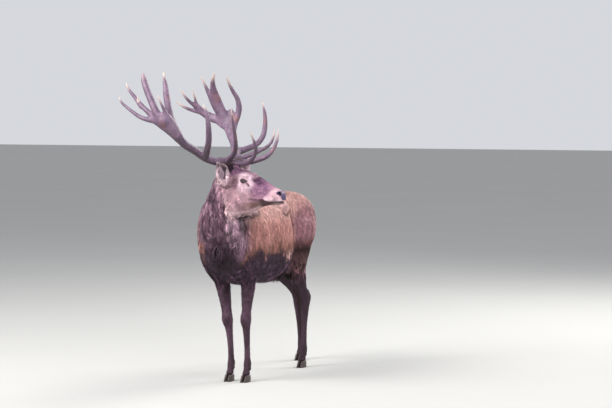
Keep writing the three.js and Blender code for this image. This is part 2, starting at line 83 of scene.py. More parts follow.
# Centre, half size across, half size from throat to nape
NECK = [
    (0, -480, 960, 176, 176), (-4, -562, 1024, 204, 202), (-6, -620, 1080, 196, 200),
    (2, -656, 1165, 162, 196), (26, -692, 1262, 128, 164), (52, -716, 1350, 96, 118),
    (78, -727, 1408, 70, 74),
]
# Forward, top, widest height, bottom, half width, squareness, in the head's frame
HEAD = [
    (-42, -52, -110, -170, 46, 2.0), (-18, -16, -110, -222, 70, 2.1), (30, 0, -115, -272, 84, 2.2),
    (95, -2, -120, -304, 88, 2.3), (150, -9, -118, -312, 86, 2.3), (195, -19, -116, -300, 78, 2.3),
    (240, -37, -126, -280, 63, 2.3), (290, -63, -140, -256, 51, 2.3), (338, -91, -156, -244, 43, 2.3),
    (382, -119, -172, -238, 39, 2.4), (414, -133, -182, -235, 41, 2.5),
    (436, -144, -186, -226, 38, 2.4), (453, -163, -188, -211, 26, 2.2),
]
MOUTH_LINE = [(318, -198), (329, -211), (349, -217), (394, -216), (435, -215), (462, -211)]
# Ear centre line, half width, half thickness, in the head's frame
EAR = [
    (48, 62, -116, 24, 20), (50, 92, -84, 39, 24), (61, 124, -40, 48, 22),
    (75, 154, 4, 39, 15), (85, 176, 38, 21, 9), (90, 190, 60, 5, 4),
]
EAR_HOLLOW = [
    (58, 120, -72, 9, 4), (64, 139, -50, 29, 14), (70, 158, -18, 33, 15),
    (78, 175, 14, 24, 10), (86, 188, 40, 8, 4),
]
# Centre, half width, half depth, from the body down to the coronet
LEGS = {
    "fore_left": [
        (118, -500, 900, 70, 118), (102, -468, 775, 62, 92), (88, -455, 680, 51, 62),
        (79, -457, 575, 42, 47), (74, -460, 485, 34, 38), (71, -464, 418, 36, 40),
        (72, -458, 352, 27, 32), (74, -453, 250, 22, 27), (75, -450, 165, 22, 28),
        (76, -450, 118, 28, 33), (77, -466, 78, 24, 28), (78, -482, 46, 28, 36)],
    "fore_right": [
        (-152, -505, 900, 74, 118), (-132, -470, 775, 64, 92), (-112, -455, 680, 53, 64),
        (-91, -457, 575, 43, 48), (-76, -460, 485, 36, 39), (-66, -464, 412, 37, 40),
        (-58, -458, 350, 27, 32), (-50, -453, 250, 22, 27), (-47, -450, 165, 22, 28),
        (-46, -450, 118, 28, 33), (-45, -466, 78, 24, 28), (-44, -482, 46, 28, 36)],
    "hind_left": [
        (112, 336, 1110, 46, 96), (146, 336, 1040, 75, 148), (152, 320, 960, 71, 148),
        (151, 282, 870, 67, 144), (149, 262, 785, 61, 120), (142, 286, 700, 53, 88),
        (132, 322, 622, 45, 65), (124, 390, 556, 36, 54), (118, 466, 500, 35, 60),
        (117, 462, 425, 29, 42), (117, 448, 310, 22, 29), (118, 436, 185, 22, 28),
        (119, 429, 118, 28, 34), (120, 410, 78, 24, 28), (121, 393, 46, 28, 37)],
    "hind_right": [
        (-84, 340, 1110, 44, 90), (-118, 352, 1040, 76, 146), (-132, 362, 960, 78, 156),
        (-138, 372, 870, 71, 144), (-138, 402, 785, 60, 122), (-122, 476, 695, 54, 98),
        (-98, 574, 618, 45, 76), (-79, 678, 545, 35, 60), (-68, 748, 488, 35, 62),
        (-67, 758, 415, 29, 42), (-65, 776, 305, 22, 29), (-63, 800, 185, 22, 28),
        (-62, 812, 118, 28, 34), (-61, 795, 78, 24, 28), (-60, 779, 46, 28, 37)],
}
TAIL = [(20, 555, 1140, 26, 18), (22, 608, 1120, 31, 20), (22, 630, 1060, 28, 18),
        (22, 628, 1000, 17, 12), (22, 624, 972, 6, 5)]
DEW_CLAW = {"apart": 15, "back": 27, "up": 88, "half": (9, 12, 15)}
CLAW = {"apart": 15.8, "half": 14.2, "toe": 62, "heel": 34, "height": 44.7}
CLAW_TOP = {"toe": 34, "heel": 33, "half": 13}

# Rounded masses over and under the surface: centre, half sizes, blend
MASSES = [
    ((112, -490, 930), (122, 160, 262), 50), ((-122, -490, 930), (124, 160, 262), 50),
    ((106, 160, 1158), (46, 110, 66), 50), ((-94, 160, 1158), (46, 110, 66), 50),
    ((124, 20, 1164), (52, 84, 50), 22), ((-114, 20, 1164), (52, 84, 50), 22),
    ((-52, 440, 756), (64, 100, 94), 40), ((84, 320, 772), (58, 100, 90), 40),
    ((110, 190, 752), (40, 80, 60), 40), ((-102, 230, 752), (40, 80, 60), 40),
    ((22, 402, 708), (52, 60, 88), 26), ((4, 168, 698), (42, 104, 44), 26),
]
HEAD_MASSES = [
    ((178, 58, -50), (44, 24, 22), 16), ((172, 70, -130), (58, 14, 15), 16),
    ((108, 66, -196), (70, 24, 74), 26), ((434, 25, -166), (20, 15, 20), 9),
    ((448, 0, -176), (16, 24, 22), 8),
    ((418, 14, -226), (30, 20, 10), 9), ((352, 36, -196), (60, 10, 14), 14),
]

# ------------------------------------------------------------------ antlers

# Forward, left, up, radius and, on a palm, its half width
ANTLER_RIGHT = {
    "beam": [(68, -55, 16, 27), (60, -72, 42, 26), (42, -108, 48, 25), (14, -152, 50, 26),
             (-24, -208, 74, 27), (-62, -272, 118, 26), (-98, -338, 160, 27),
             (-122, -398, 210, 27, 32), (-152, -438, 262, 25, 42), (-188, -462, 308, 22, 52),
             (-220, -470, 340, 14, 48)],
    "brow": [(64, -60, 45, 18), (100, -66, 43, 19), (166, -76, 33, 18), (236, -100, 44, 16),
             (292, -126, 80, 14), (322, -150, 127, 12), (327, -175, 174, 10), (318, -192, 212, 7),
             (308, -208, 244, 2.5)],
    "bez": [(58, -80, 46, 17), (106, -92, 76, 17), (150, -122, 112, 15), (183, -170, 166, 13.5),
            (204, -220, 232, 12), (218, -268, 300, 9), (226, -300, 356, 6), (227, -310, 394, 2.5)],
    "trez": [(-24, -208, 74, 20), (26, -275, 122, 21), (84, -356, 186, 20), (107, -396, 262, 18),
             (106, -407, 330, 15), (96, -414, 386, 10), (79, -418, 422, 3)],
    "crown_fore": [(-112, -410, 224, 19), (-136, -424, 290, 22), (-164, -424, 345, 23),
                   (-184, -415, 405, 22), (-204, -405, 477, 21), (-220, -390, 545, 17),
                   (-240, -372, 600, 10), (-253, -360, 635, 3)],
    "crown_inner": [(-146, -444, 300, 13), (-172, -468, 366, 12), (-198, -490, 440, 8),
                    (-216, -500, 484, 2.5)],
    "crown_top": [(-190, -464, 312, 22), (-246, -466, 376, 24), (-296, -446, 452, 23),
                  (-342, -422, 520, 22), (-376, -402, 582, 20), (-390, -390, 618, 12)],
    "crown_rear": [(-196, -466, 316, 18), (-262, -456, 342, 18), (-322, -440, 376, 17),
                   (-398, -421, 428, 14), (-446, -404, 472, 12), (-504, -385, 524, 9),
                   (-533, -370, 566, 2.5)],
    "crown_low": [(-180, -462, 306, 18), (-270, -466, 318, 17), (-372, -450, 340, 14),
                  (-466, -420, 384, 11), (-556, -390, 436, 8), (-584, -375, 474, 2.5)],
    "crown_spur": [(-384, -422, 412, 9), (-402, -432, 446, 7), (-406, -440, 478, 2)],
}
ANTLER_LEFT = {
    "beam": [(68, 55, 16, 27), (60, 72, 42, 26), (34, 118, 62, 25), (-12, 186, 94, 26),
             (-56, 252, 124, 26), (-110, 330, 166, 26), (-156, 390, 208, 27, 33),
             (-192, 434, 262, 25, 46), (-222, 458, 306, 21, 70), (-256, 468, 342, 14, 74)],
    "brow": [(64, 60, 45, 18), (100, 69, 43, 19), (156, 88, 43, 18), (236, 120, 68, 16),
             (274, 145, 100, 14), (298, 170, 152, 12), (307, 188, 208, 8), (304, 205, 262, 2.5)],
    "bez": [(52, 84, 48, 16), (96, 112, 70, 15), (160, 162, 104, 13), (206, 204, 134, 12),
            (236, 224, 166, 10), (249, 236, 206, 8), (253, 250, 251, 2.5)],
    "trez": [(-12, 186, 94, 20), (18, 262, 118, 21), (60, 340, 150, 19), (92, 380, 206, 18),
             (100, 398, 284, 16), (92, 409, 358, 12), (78, 416, 404, 7), (67, 420, 437, 2.5)],
    "crown_fore": [(-176, 410, 236, 20), (-166, 446, 290, 22), (-152, 468, 345, 21),
                   (-144, 474, 400, 20), (-148, 460, 460, 17), (-166, 430, 512, 14),
                   (-182, 400, 566, 10), (-186, 370, 612, 2.5)],
    "crown_front": [(-238, 462, 316, 23, 32), (-290, 460, 390, 23, 40), (-310, 436, 468, 21, 36),
                    (-311, 408, 538, 17, 21), (-300, 384, 588, 13, 14), (-273, 360, 636, 4)],
    "crown_mid": [(-262, 466, 350, 22), (-322, 454, 420, 20), (-350, 430, 486, 17),
                  (-372, 408, 550, 11), (-394, 385, 613, 2.5)],
    "crown_rear": [(-258, 470, 326, 18, 46), (-330, 474, 324, 18, 34), (-400, 474, 345, 18, 24),
                   (-440, 462, 384, 16, 17), (-490, 422, 428, 12), (-524, 390, 476, 9),
                   (-546, 365, 527, 2.5)],
    "crown_low": [(-386, 476, 350, 14), (-446, 460, 366, 13), (-500, 440, 382, 12),
                  (-548, 408, 406, 9), (-585, 375, 439, 2.5)],
    "crown_spur": [(-440, 462, 384, 10), (-468, 446, 438, 9), (-476, 432, 486, 6),
                   (-481, 420, 526, 2)],
}
BURR = {"at": (68, 55, 28), "radius": 25, "ring": 8}

# ------------------------------------------------------------------ places and frames

HEAD_AXES = np.array([
    [math.cos(HEAD_YAW), math.sin(HEAD_YAW), 0.0],
    [-math.sin(HEAD_YAW), math.cos(HEAD_YAW), 0.0],
    [0.0, 0.0, 1.0],
])


def to_head(points):
    """Forward, left and up from the poll, of points in the drawing."""
    return (points - POLL) @ HEAD_AXES.T


def from_head(points):
    return np.asarray(points, float) @ HEAD_AXES + POLL


def mirrored(local):
    """The right half of the head laid over the left."""
    return np.stack([local[:, 0], np.abs(local[:, 1]), local[:, 2]], -1)


def drawing_shift():
    """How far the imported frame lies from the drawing, read off the left eye."""
    low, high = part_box("eye_left")
    middle = (np.array(low) + np.array(high)) * 500.0
    return middle - from_head([EYE_SEAT])[0]


SHIFT = drawing_shift()


def to_metres(points):
    return (points + SHIFT) / 1000.0


# ------------------------------------------------------------------ smooth tables and blends

def smooth_rows(rows, steps):
    """Catmull-Rom rows between the rows of a table."""
    table = np.array(rows, float)
    padded = np.vstack([table[:1], table, table[-1:]])
    out = []
    for i in range(len(table) - 1):
        before, start, end, after = padded[i:i + 4]
        for t in np.arange(steps) / steps:
            leave, arrive = (end - before) / 2, (after - start) / 2
            bend = 3 * (end - start) - 2 * leave - arrive
            twist = 2 * (start - end) + leave + arrive
            out.append(start + leave * t + bend * t * t + twist * t ** 3)
    out.append(table[-1])
    return np.array(out)


def ramp(value, low, high):
    """0 below low, 1 above high, with a soft start and end."""
    t = np.clip((value - low) / (high - low), 0.0, 1.0)
    return t * t * (3 - 2 * t)


def blend_in(a, b, soft):
    """Both solids, with a fillet of the given size where they meet."""
    near = np.maximum(soft - np.abs(a - b), 0.0) / soft
    return np.minimum(a, b) - near * near * soft / 4


def carve(a, b, soft):
    """The first solid without the second."""
    return -blend_in(-a, b, soft)


def ball_field(points, centre, half):
    """Rough distance to an ellipsoid."""
    v = points - np.array(centre, float)
    q = np.linalg.norm(v / np.array(half, float), axis=1)
    r = np.linalg.norm(v, axis=1)
    return np.where(q > 1e-6, r * (1 - 1 / np.maximum(q, 1e-6)), -min(half))


def ring_field(along, side, up, table):
    """Distance to a body with oval rings: along, shift, top, widest, bottom, half, squareness."""
    held = np.clip(along, table[0, 0], table[-1, 0])
    shift, top, widest, bottom, half, square = (
        np.interp(held, table[:, 0], table[:, c]) for c in range(1, 7))
    s, u = side - shift, up - widest
    h = np.where(u > 0, top - widest, widest - bottom)
    q = ((np.abs(s) / half) ** square + (np.abs(u) / h) ** square) ** (1 / square)
    r = np.hypot(s, u)
    wall = np.where(q > 1e-4, r * (1 - 1 / np.maximum(q, 1e-4)), -np.minimum(half, h))
    past = np.abs(along - held)
    return np.where(past > 0, np.hypot(np.maximum(wall, 0), past), wall)


def limb_field(points, table, reference):
    """Distance to a bent limb with an oval section, and how far along it the nearest place is."""
    best = np.full(len(points), 1e9)
    place = np.zeros(len(points))
    count = len(table) - 1
    for i in range(count):
        a, b = table[i, :3], table[i + 1, :3]
        axis = b - a
        size = np.linalg.norm(axis)
        if size < 1e-6:
            continue
        axis = axis / size
        t = np.clip((points - a) @ axis / size, 0, 1)
        v = points - a - t[:, None] * (axis * size)
        side = reference - axis * (reference @ axis)
        side /= np.linalg.norm(side)
        up = np.cross(axis, side)
        across = table[i, 3] + t * (table[i + 1, 3] - table[i, 3])
        deep = table[i, 4] + t * (table[i + 1, 4] - table[i, 4])
        r = np.linalg.norm(v, axis=1)
        q = np.sqrt(((v @ side) / across) ** 2 + ((v @ up) / deep) ** 2
                    + ((v @ axis) / np.minimum(across, deep)) ** 2)
        d = np.where(q > 1e-5, r * (1 - 1 / np.maximum(q, 1e-5)), -np.minimum(across, deep))
        closer = d < best
        best[closer] = d[closer]
        place[closer] = (i + t[closer]) / count
    return best, place


def near_only(points, low, high, margin, field):
    """Work a field out only near its own box. Further off, the distance to the box stands in."""
    gap = np.maximum(np.maximum(low - points, points - high), 0.0).max(axis=1)
    out = gap.copy()
    near = gap < margin
    if near.any():
        out[near] = field(points[near])
    return out


def box_of(table, radii):
    reach = table[:, radii].max(axis=1)[:, None]
    return (table[:, :3] - reach).min(axis=0), (table[:, :3] + reach).max(axis=0)


# ------------------------------------------------------------------ the flesh as one solid

TRUNK_TABLE = smooth_rows(TRUNK, 8)
NECK_TABLE = smooth_rows(NECK, 4)
HEAD_TABLE = smooth_rows([(r[0], 0.0) + r[1:] for r in HEAD], 8)
EAR_TABLE = smooth_rows(EAR, 4)
HOLLOW_TABLE = smooth_rows(EAR_HOLLOW, 4)
TAIL_TABLE = smooth_rows(TAIL, 3)
LEG_TABLES = {name: smooth_rows(rows, 6)[::-1] for name, rows in LEGS.items()}
ACROSS = np.array([1.0, 0.0, 0.0])


def leg_field(points, name):
    t = LEG_TABLES[name]
    z = points[:, 2]
    held = np.clip(z, t[0, 2], t[-1, 2])
    x, y, half, deep = (np.interp(held, t[:, 2], t[:, c]) for c in (0, 1, 3, 4))
    s, u = points[:, 0] - x, points[:, 1] - y
    q = ((np.abs(s) / half) ** 2.1 + (np.abs(u) / deep) ** 2.1) ** (1 / 2.1)
    r = np.hypot(s, u)
    wall = np.where(q > 1e-4, r * (1 - 1 / np.maximum(q, 1e-4)), -half)
    past = np.abs(z - held)
    d = np.where(past > 0, np.hypot(np.maximum(wall, 0), past), wall)
    side = "hind" in name
    foot = LEGS[name][-2]
    for way in (1, -1):
        claw = (foot[0] + way * DEW_CLAW["apart"], foot[1] + DEW_CLAW["back"], DEW_CLAW["up"])
        d = blend_in(d, ball_field(points, claw, DEW_CLAW["half"]), 5)
    if side:
        d = hock_field(points, d, name)
    else:
        knee = LEGS[name][5]
        d = blend_in(d, ball_field(points, (knee[0], knee[1] - 8, 425), (32, 30, 52)), 22)
    return d


def hock_field(points, d, name):
    """The point of the hock, and the hollow in front of its tendon."""
    hock = LEGS[name][8]
    back = ball_field(points, (hock[0], hock[1] + 44, hock[2] + 24), (15, 18, 30))
    d = blend_in(d, back, 26)
    for way in (1, -1):
        hollow = ball_field(points, (hock[0] + way * 34, hock[1] - 4, hock[2] + 92), (16, 22, 66))
        d = carve(d, hollow, 18)
    return d


def eye_place(local):
    """Coordinates in the eye's opening, turned so that its front corner is low."""
    x, z = local[:, 0] - EYE_SEAT[0] + 2.5, local[:, 2] - EYE_SEAT[2]
    c, s = math.cos(LID["tilt"]), math.sin(LID["tilt"])
    return x * c + z * s, z * c - x * s


def lid_lines(x):
    """Heights of the upper and the lower lid above and below the eye's long axis."""
    share = np.maximum(1 - (x / LID["half"]) ** 2, 0)
    return LID["top"] * share ** 0.62, LID["low"] * share ** 0.8


def slit_share(forward, up, width):
    """1 along the tear slit in front of the eye, 0 beside it."""
    along = (forward - 218) * 0.6 - (up + 107) * 0.8
    across = (forward - 218) * 0.8 + (up + 107) * 0.6
    return np.exp(-(along / 16) ** 4 - (across / width) ** 2)


def head_field(local):
    """The head in its own frame, with sockets, lids, nostrils, lips and ears."""
    mirror = local.copy()
    mirror[:, 1] = np.abs(mirror[:, 1])
    forward, side, up = mirror.T
    d = ring_field(forward, side, up, HEAD_TABLE)
    for centre, half, soft in HEAD_MASSES:
        d = blend_in(d, ball_field(mirror, centre, half), soft)
    pedicle, _ = limb_field(mirror, np.array([(74, 44, -40, 27, 27), (68, 55, 20, 27, 27.0)]), ACROSS)
    d = blend_in(d, pedicle, 22)
    d = carve(d, ball_field(mirror, (232, 84, -74), (40, 15, 22)), 18)
    d = carve(d, ball_field(mirror, (128, 92, -78), (34, 16, 30)), 20)
    d = carve(d, ball_field(mirror, (250, 84, -196), (66, 24, 26)), 30)
    d = lids_field(mirror, d)
    d = d + 7.5 * slit_share(forward, up, 4.2) * (side > 30)
    d = carve(d, ball_field(mirror, (436, 32, -159), (13, 12, 8)), 4)
    d = carve(d, ball_field(mirror, (442, 36, -170), (6, 11, 12)), 4)
    line = np.interp(forward, *np.array(MOUTH_LINE, float).T)
    mouth = np.exp(-((up - line) / 2.8) ** 2) * ramp(forward, 320, 334)
    d = d + 4.6 * mouth * (forward < 470)
    d = d + 2.2 * np.exp(-(side / 2.2) ** 2 - ((forward - 462) / 12) ** 2) * (up < -178)
    return ear_field(mirror, d)


def lids_field(mirror, d):
    """A ring of flesh round the eye, and its opening between two lids."""
    seat = np.array(EYE_SEAT)
    x, z = eye_place(mirror)
    ball = np.linalg.norm(mirror - seat, axis=1)
    d = blend_in(d, ball - (EYE_RADIUS + 6.4), 8)
    top, low = lid_lines(x)
    crease = np.exp(-((z - top - 7.0) / 2.2) ** 2 - (x / 24) ** 4) * (mirror[:, 1] > 60)
    bag = np.exp(-((z + low + 7.5) / 2.4) ** 2 - (x / 22) ** 4) * (mirror[:, 1] > 60)
    d = d + (ball < EYE_RADIUS + 30) * (3.0 * crease + 2.0 * bag)
    opening = np.maximum(np.maximum(z - top, -z - low), np.abs(x) - LID["half"])
    opening = np.maximum(opening * 0.9, seat[1] + 1 - mirror[:, 1])
    return carve(d, opening, 1.2)


def ear_field(mirror, d):
    def leaf(points):
        outer, _ = limb_field(points, EAR_TABLE, ACROSS)
        hollow, _ = limb_field(points, HOLLOW_TABLE, ACROSS)
        return carve(outer, hollow, 3)
    low, high = box_of(EAR_TABLE, [3, 4])
    return blend_in(d, near_only(mirror, low, high, 30, leaf), 12)


def folds(points, d):
    """Shallow creases where the flank meets the thigh, the elbow and the shoulder."""
    x, y, z = points.T
    flank = np.exp(-((y - flank_edge(z)) / 15) ** 2) * ramp(z, 770, 840) * ramp(-z, -1150, -1050)
    elbow_line = -372 + 0.28 * (z - 800)
    elbow = np.exp(-((y - elbow_line) / 20) ** 2) * ramp(z, 700, 770) * ramp(-z, -1120, -900)
    deep = 14.0 * flank + 6.0 * elbow + 13.0 * lobe_crease(points)
    return d + deep * (np.abs(x) > 60)


def lobe_crease(points):
    """1 in the crease below and in front of the lobe of the hip, 0 beside it."""
    x, y, z = points.T
    out = np.hypot((y - 20) / 92, (z - 1166) / 54)
    share = np.interp(x, [-60, 60], [0.35, 1.0])
    return share * np.exp(-((out - 1.0) / 0.15) ** 2) * ramp(-z, -1160, -1120) * ramp(y, -90, -30)


def coat_depth(points):
    """How far the skin lies below the tips of the coat, in millimetres."""
    y, z = points[:, 1:].T
    local = to_head(points)
    mane = mane_share(points)
    head = ramp(local[:, 0] * 0.9 + (local[:, 2] + 150) * 0.42, 20, 70)
    head = head * ramp(-np.abs(local[:, 1]), -240, -200) * ramp(z, 1100, 1150)
    leg = ramp(-z, -720, -620)
    depth = 10.0 + 12.0 * mane + 10.0 * ramp(-z, -820, -720)
    depth = depth + 22.0 * ramp(-z, -730, -680) * ramp(y, -440, -360) * ramp(-y, 100, 260)
    depth = depth * (1 - leg) + 4.0 * leg
    return depth * (1 - head) + 2.4 * head


def mane_share(points):
    """1 on the neck and the front of the chest, 0 on the trunk, with a soft edge."""
    y, z = points[:, 1:].T
    edge = -662 + 0.9 * np.maximum(z - 1150, 0) - 0.25 * np.maximum(960 - z, 0)
    return ramp(edge - y, -22, 26) * ramp(z, 640, 700)


def flesh_field(points):
    """Signed distance in millimetres to the whole of the flesh, out to the tips of the coat."""
    d = near_only(points, np.array([-240, -760, 630.0]), np.array([245, 606, 1300.0]), 90,
                  lambda p: ring_field(p[:, 1], p[:, 0], p[:, 2], TRUNK_TABLE))
    for centre, half, soft in MASSES:
        d = blend_in(d, ball_field(points, centre, half), soft)
    low, high = box_of(NECK_TABLE, [3, 4])
    neck = near_only(points, low, high, 90, lambda p: limb_field(p, NECK_TABLE, ACROSS)[0])
    d = blend_in(d, neck, 60)
    for name, table in LEG_TABLES.items():
        low, high = box_of(table, [3, 4])
        leg = near_only(points, low, high, 60, lambda p, n=name: leg_field(p, n))
        d = blend_in(d, leg, 26 if "hind" in name else 40)
    low, high = box_of(TAIL_TABLE, [3, 4])
    d = blend_in(d, near_only(points, low, high, 40, lambda p: limb_field(p, TAIL_TABLE, ACROSS)[0]), 16)
    d = folds(points, d)
    d = throat_field(points, d)
    d = d + coat_depth(points)
    local = to_head(points)
    head = near_only(local, np.array([-60, -215, -330.0]), np.array([480, 215, 80.0]), 70,
                     lambda p: head_field(p) + 2.4)
    d = blend_in(d, head, 34)
    return np.maximum(d, FOOT_TOP + 1.5 - points[:, 2])


def throat_field(points, d):
    """The full throat below the jaw, and the long grooves in the mane beside it."""
    d = blend_in(d, ball_field(points, (132, -832, 1180), (64, 58, 64)), 26)
    d = blend_in(d, ball_field(points, (118, -742, 1068), (66, 60, 80)), 50)
    x, z = points[:, 0], points[:, 2]
    wave = np.sin(x / 17.0 + 1.2 * np.sin(z / 90.0)) + 0.6 * np.sin(x / 9.5 + z / 70.0 + 1.0)
    return d + 3.5 * wave * mane_share(points) * ramp(z, 800, 900)


# ------------------------------------------------------------------ meshing a solid

def cell_corners(f):
    """The eight corners of a cell, each with its weight at a place inside."""
    for corner in range(8):
        o = np.array([corner & 1, corner >> 1 & 1, corner >> 2 & 1])
        yield o, np.prod(np.where(o, f, 1 - f), axis=1)


def gradient(read, points, reach):
    here = read(points)
    return here, np.stack([(read(points + reach * np.eye(3)[a]) - here) / reach for a in range(3)], -1)


def settled(read, points, limit, passes=2):
    """Points moved onto the surface of a field."""
    for _ in range(passes):
        here, grad = gradient(read, points, 0.6)
        size = np.maximum((grad ** 2).sum(1), 0.25)
        points = points - grad * np.clip(here / size, -limit, limit)[:, None]
    return points


class Warp:
    """A grid that is finer round a centre: distances from it shrink by share within reach."""

    def __init__(self, centre, share, reach, fade):
        self.centre = np.array(centre, float)
        near = reach / share
        u = np.concatenate([[0.0, near], near + fade * np.arange(1, 33) / 32, [near + fade + 9000]])
        slope = [share, share] + [share + (1 - share) * k / 32 for k in range(1, 33)] + [1.0]
        w = [0.0]
        for i in range(1, len(u)):
            w.append(w[-1] + (u[i] - u[i - 1]) * (slope[i] + slope[i - 1]) / 2)
        self.u, self.w, self.slope = u, np.array(w), np.array(slope)

    def moved(self, points, start, end):
        v = points - self.centre
        r = np.maximum(np.linalg.norm(v, axis=1), 1e-6)
        return self.centre + v * (np.interp(r, start, end) / r)[:, None]

    def out(self, points):
        return self.moved(points, self.u, self.w)

    def back(self, points):
        return self.moved(points, self.w, self.u)

    def scale(self, points):
        r = np.linalg.norm(points - self.centre, axis=1)
        return np.interp(r, self.u, self.slope)


class Even:
    """A grid that is the same everywhere."""

    def out(self, points):
        return points

    back = out

    def scale(self, points):
        return np.ones(len(points))


class Solid:
    """A field worked out on a grid, and only close to its surface."""

    BLOCK = 4

    def __init__(self, field, low, high, step, warp):
        self.field, self.step, self.warp = field, step, warp
        corners = np.array([[a, b, c] for a in (low[0], high[0]) for b in (low[1], high[1])
                            for c in (low[2], high[2])], float)
        edges = np.linspace(0, 1, 9)
        samples = np.array([low + (high - low) * [a, b, c] for a in edges for b in edges for c in edges
                            if 0 in (a, b, c) or 1 in (a, b, c)])
        spread = warp.back(np.vstack([corners, samples]))
        self.low = spread.min(axis=0) - 2 * step
        blocks = np.ceil((spread.max(axis=0) + 2 * step - self.low) / (step * self.BLOCK)).astype(int)
        self.values = self.fill(blocks)

    def fill(self, blocks):
        n, step = self.BLOCK, self.step
        grid = np.stack(np.meshgrid(*[np.arange(b) for b in blocks], indexing="ij"), -1).reshape(-1, 3)
        middles = self.low + (grid * n + (n - 1) / 2) * step
        rough = np.concatenate([self.field(self.warp.out(part))
                                for part in np.array_split(middles, max(1, len(middles) // 200000))])
        reach = 0.5 * n * step * 3 ** 0.5 * self.warp.scale(middles) * 1.35 + 2.0
        values = np.repeat(np.repeat(np.repeat(
            rough.reshape(blocks).astype(np.float32), n, 0), n, 1), n, 2)
        active = grid[np.abs(rough) < reach]
        inner = np.stack(np.meshgrid(*[np.arange(n)] * 3, indexing="ij"), -1).reshape(-1, 3)
        cells = (active[:, None, :] * n + inner[None]).reshape(-1, 3)
        for part in np.array_split(cells, max(1, len(cells) // 250000)):
            values[tuple(part.T)] = self.field(self.warp.out(self.low + part * step))
        return values

    def height(self, points):
        """Distance above the surface, read off the grid."""
        g = (self.warp.back(points) - self.low) / self.step
        g = np.clip(g, 0, np.array(self.values.shape) - 1.001)
        i = g.astype(int)
        f = g - i
        out = np.zeros(len(points))
        for o, weight in cell_corners(f):
            out += weight * self.values[tuple((i + o).T)]
        return out

    def slope(self, points, reach=3.0):
        return gradient(self.height, points, reach)

    def surface(self, passes=2):
        """Quads over the surface, settled on it."""
        values = self.values
        inside = values < 0
        shape = np.array(values.shape) - 1
        count = np.zeros(shape, np.int8)
        offsets = [(a, b, c) for a in (0, 1) for b in (0, 1) for c in (0, 1)]
        for a, b, c in offsets:
            count += inside[a:a + shape[0], b:b + shape[1], c:c + shape[2]]
        cells = np.argwhere((count > 0) & (count < 8))
        number = np.full(shape, -1, np.int32)
        number[tuple(cells.T)] = np.arange(len(cells))
        total = np.zeros((len(cells), 3))
        hits = np.zeros(len(cells))
        for a in offsets:
            for axis in range(3):
                if a[axis]:
                    continue
                b = list(a)
                b[axis] = 1
                fa = values[tuple((cells + a).T)].astype(float)
                fb = values[tuple((cells + b).T)].astype(float)
                cross = (fa < 0) != (fb < 0)
                t = np.where(cross, fa / np.where(cross, fa - fb, 1), 0)
                place = np.array(a, float) + t[:, None] * (np.array(b) - a)
                total += place * cross[:, None]
                hits += cross
        points = self.warp.out(self.low + (cells + total / hits[:, None]) * self.step)
        quads = []
        for axis in range(3):
            u, v = (axis + 1) % 3, (axis + 2) % 3
            first = [slice(1, -1)] * 3
            first[axis] = slice(0, -1)
            second = list(first)
            second[axis] = slice(1, None)
            edges = np.argwhere(inside[tuple(first)] != inside[tuple(second)])
            start = edges + [0 if k == axis else 1 for k in range(3)]
            out = inside[tuple(start.T)]
            step_u, step_v = np.eye(3, dtype=int)[u], np.eye(3, dtype=int)[v]
            ring = [start - step_u - step_v, start - step_v, start, start - step_u]
            quad = np.stack([number[tuple(r.T)] for r in ring], -1)
            quad[~out] = quad[~out][:, ::-1]
            quads.append(quad)
        quads = np.concatenate(quads)
        quads = quads[(quads >= 0).all(axis=1)]
        return settled(self.field, points, self.step, passes), quads


def refine(points, quads, wanted, field):
    """Split the wanted quads in four, and give their neighbours the points on the shared edges."""
    picked = wanted(points[quads].mean(axis=1))
    a, b = quads[picked], np.roll(quads[picked], -1, axis=1)
    ends = np.sort(np.stack([a, b], -1).reshape(-1, 2), axis=1)
    edges, which = np.unique(ends, axis=0, return_inverse=True)
    middles = points[edges].mean(axis=1)
    centres = points[a].mean(axis=1)
    fresh = settled(field, np.vstack([middles, centres]), 4)
    mid = which.reshape(-1, 4) + len(points)
    core = np.arange(len(a)) + len(points) + len(middles)
    split = [np.stack([a[:, k], mid[:, k], core, mid[:, k - 1]], -1) for k in range(4)]
    known = {(int(p), int(q)): i + len(points) for i, (p, q) in enumerate(edges)}
    touched = np.isin(quads, edges).sum(axis=1) > 1
    plain = quads[~picked & ~touched]
    loose = {4: [plain] + split}
    for quad in quads[~picked & touched]:
        ring = []
        for k in range(4):
            p, q = int(quad[k]), int(quad[(k + 1) % 4])
            ring.append(p)
            if (min(p, q), max(p, q)) in known:
                ring.append(known[min(p, q), max(p, q)])
        loose.setdefault(len(ring), []).append(np.array([ring]))
    return np.vstack([points, fresh]), [np.concatenate(group) for group in loose.values()]


def largest_part(points, faces):
    """Only the connected surface with the most faces."""
    label = np.arange(len(points))
    while True:
        low = label[faces].min(axis=1)
        new = label.copy()
        for c in range(faces.shape[1]):
            np.minimum.at(new, faces[:, c], low)
        new = new[new]
        if (new == label).all():
            break
        label = new
    names, sizes = np.unique(label[faces[:, 0]], return_counts=True)
    keep = label[faces[:, 0]] == names[sizes.argmax()]
    used = np.unique(faces[keep])
    renumber = np.full(len(points), -1)
    renumber[used] = np.arange(len(used))
    return points[used], renumber[faces[keep]]


# ------------------------------------------------------------------ meshes and pieces

def build_mesh(name, points, *groups):
    """A mesh from points and arrays of faces, each array with its own number of sides."""
    mesh = bpy.data.meshes.new(name)
    corners = np.concatenate([faces.ravel() for faces in groups])
    sides = np.concatenate([np.full(len(faces), faces.shape[1]) for faces in groups])
    mesh.vertices.add(len(points))
    mesh.vertices.foreach_set("co", np.ascontiguousarray(points, np.float32).ravel())
    mesh.loops.add(len(corners))
    mesh.loops.foreach_set("vertex_index", corners.astype(np.int32))
    mesh.polygons.add(len(sides))
    mesh.polygons.foreach_set("loop_start", (np.cumsum(sides) - sides).astype(np.int32))
    mesh.update(calc_edges=True)
    mesh.shade_smooth()
    return mesh


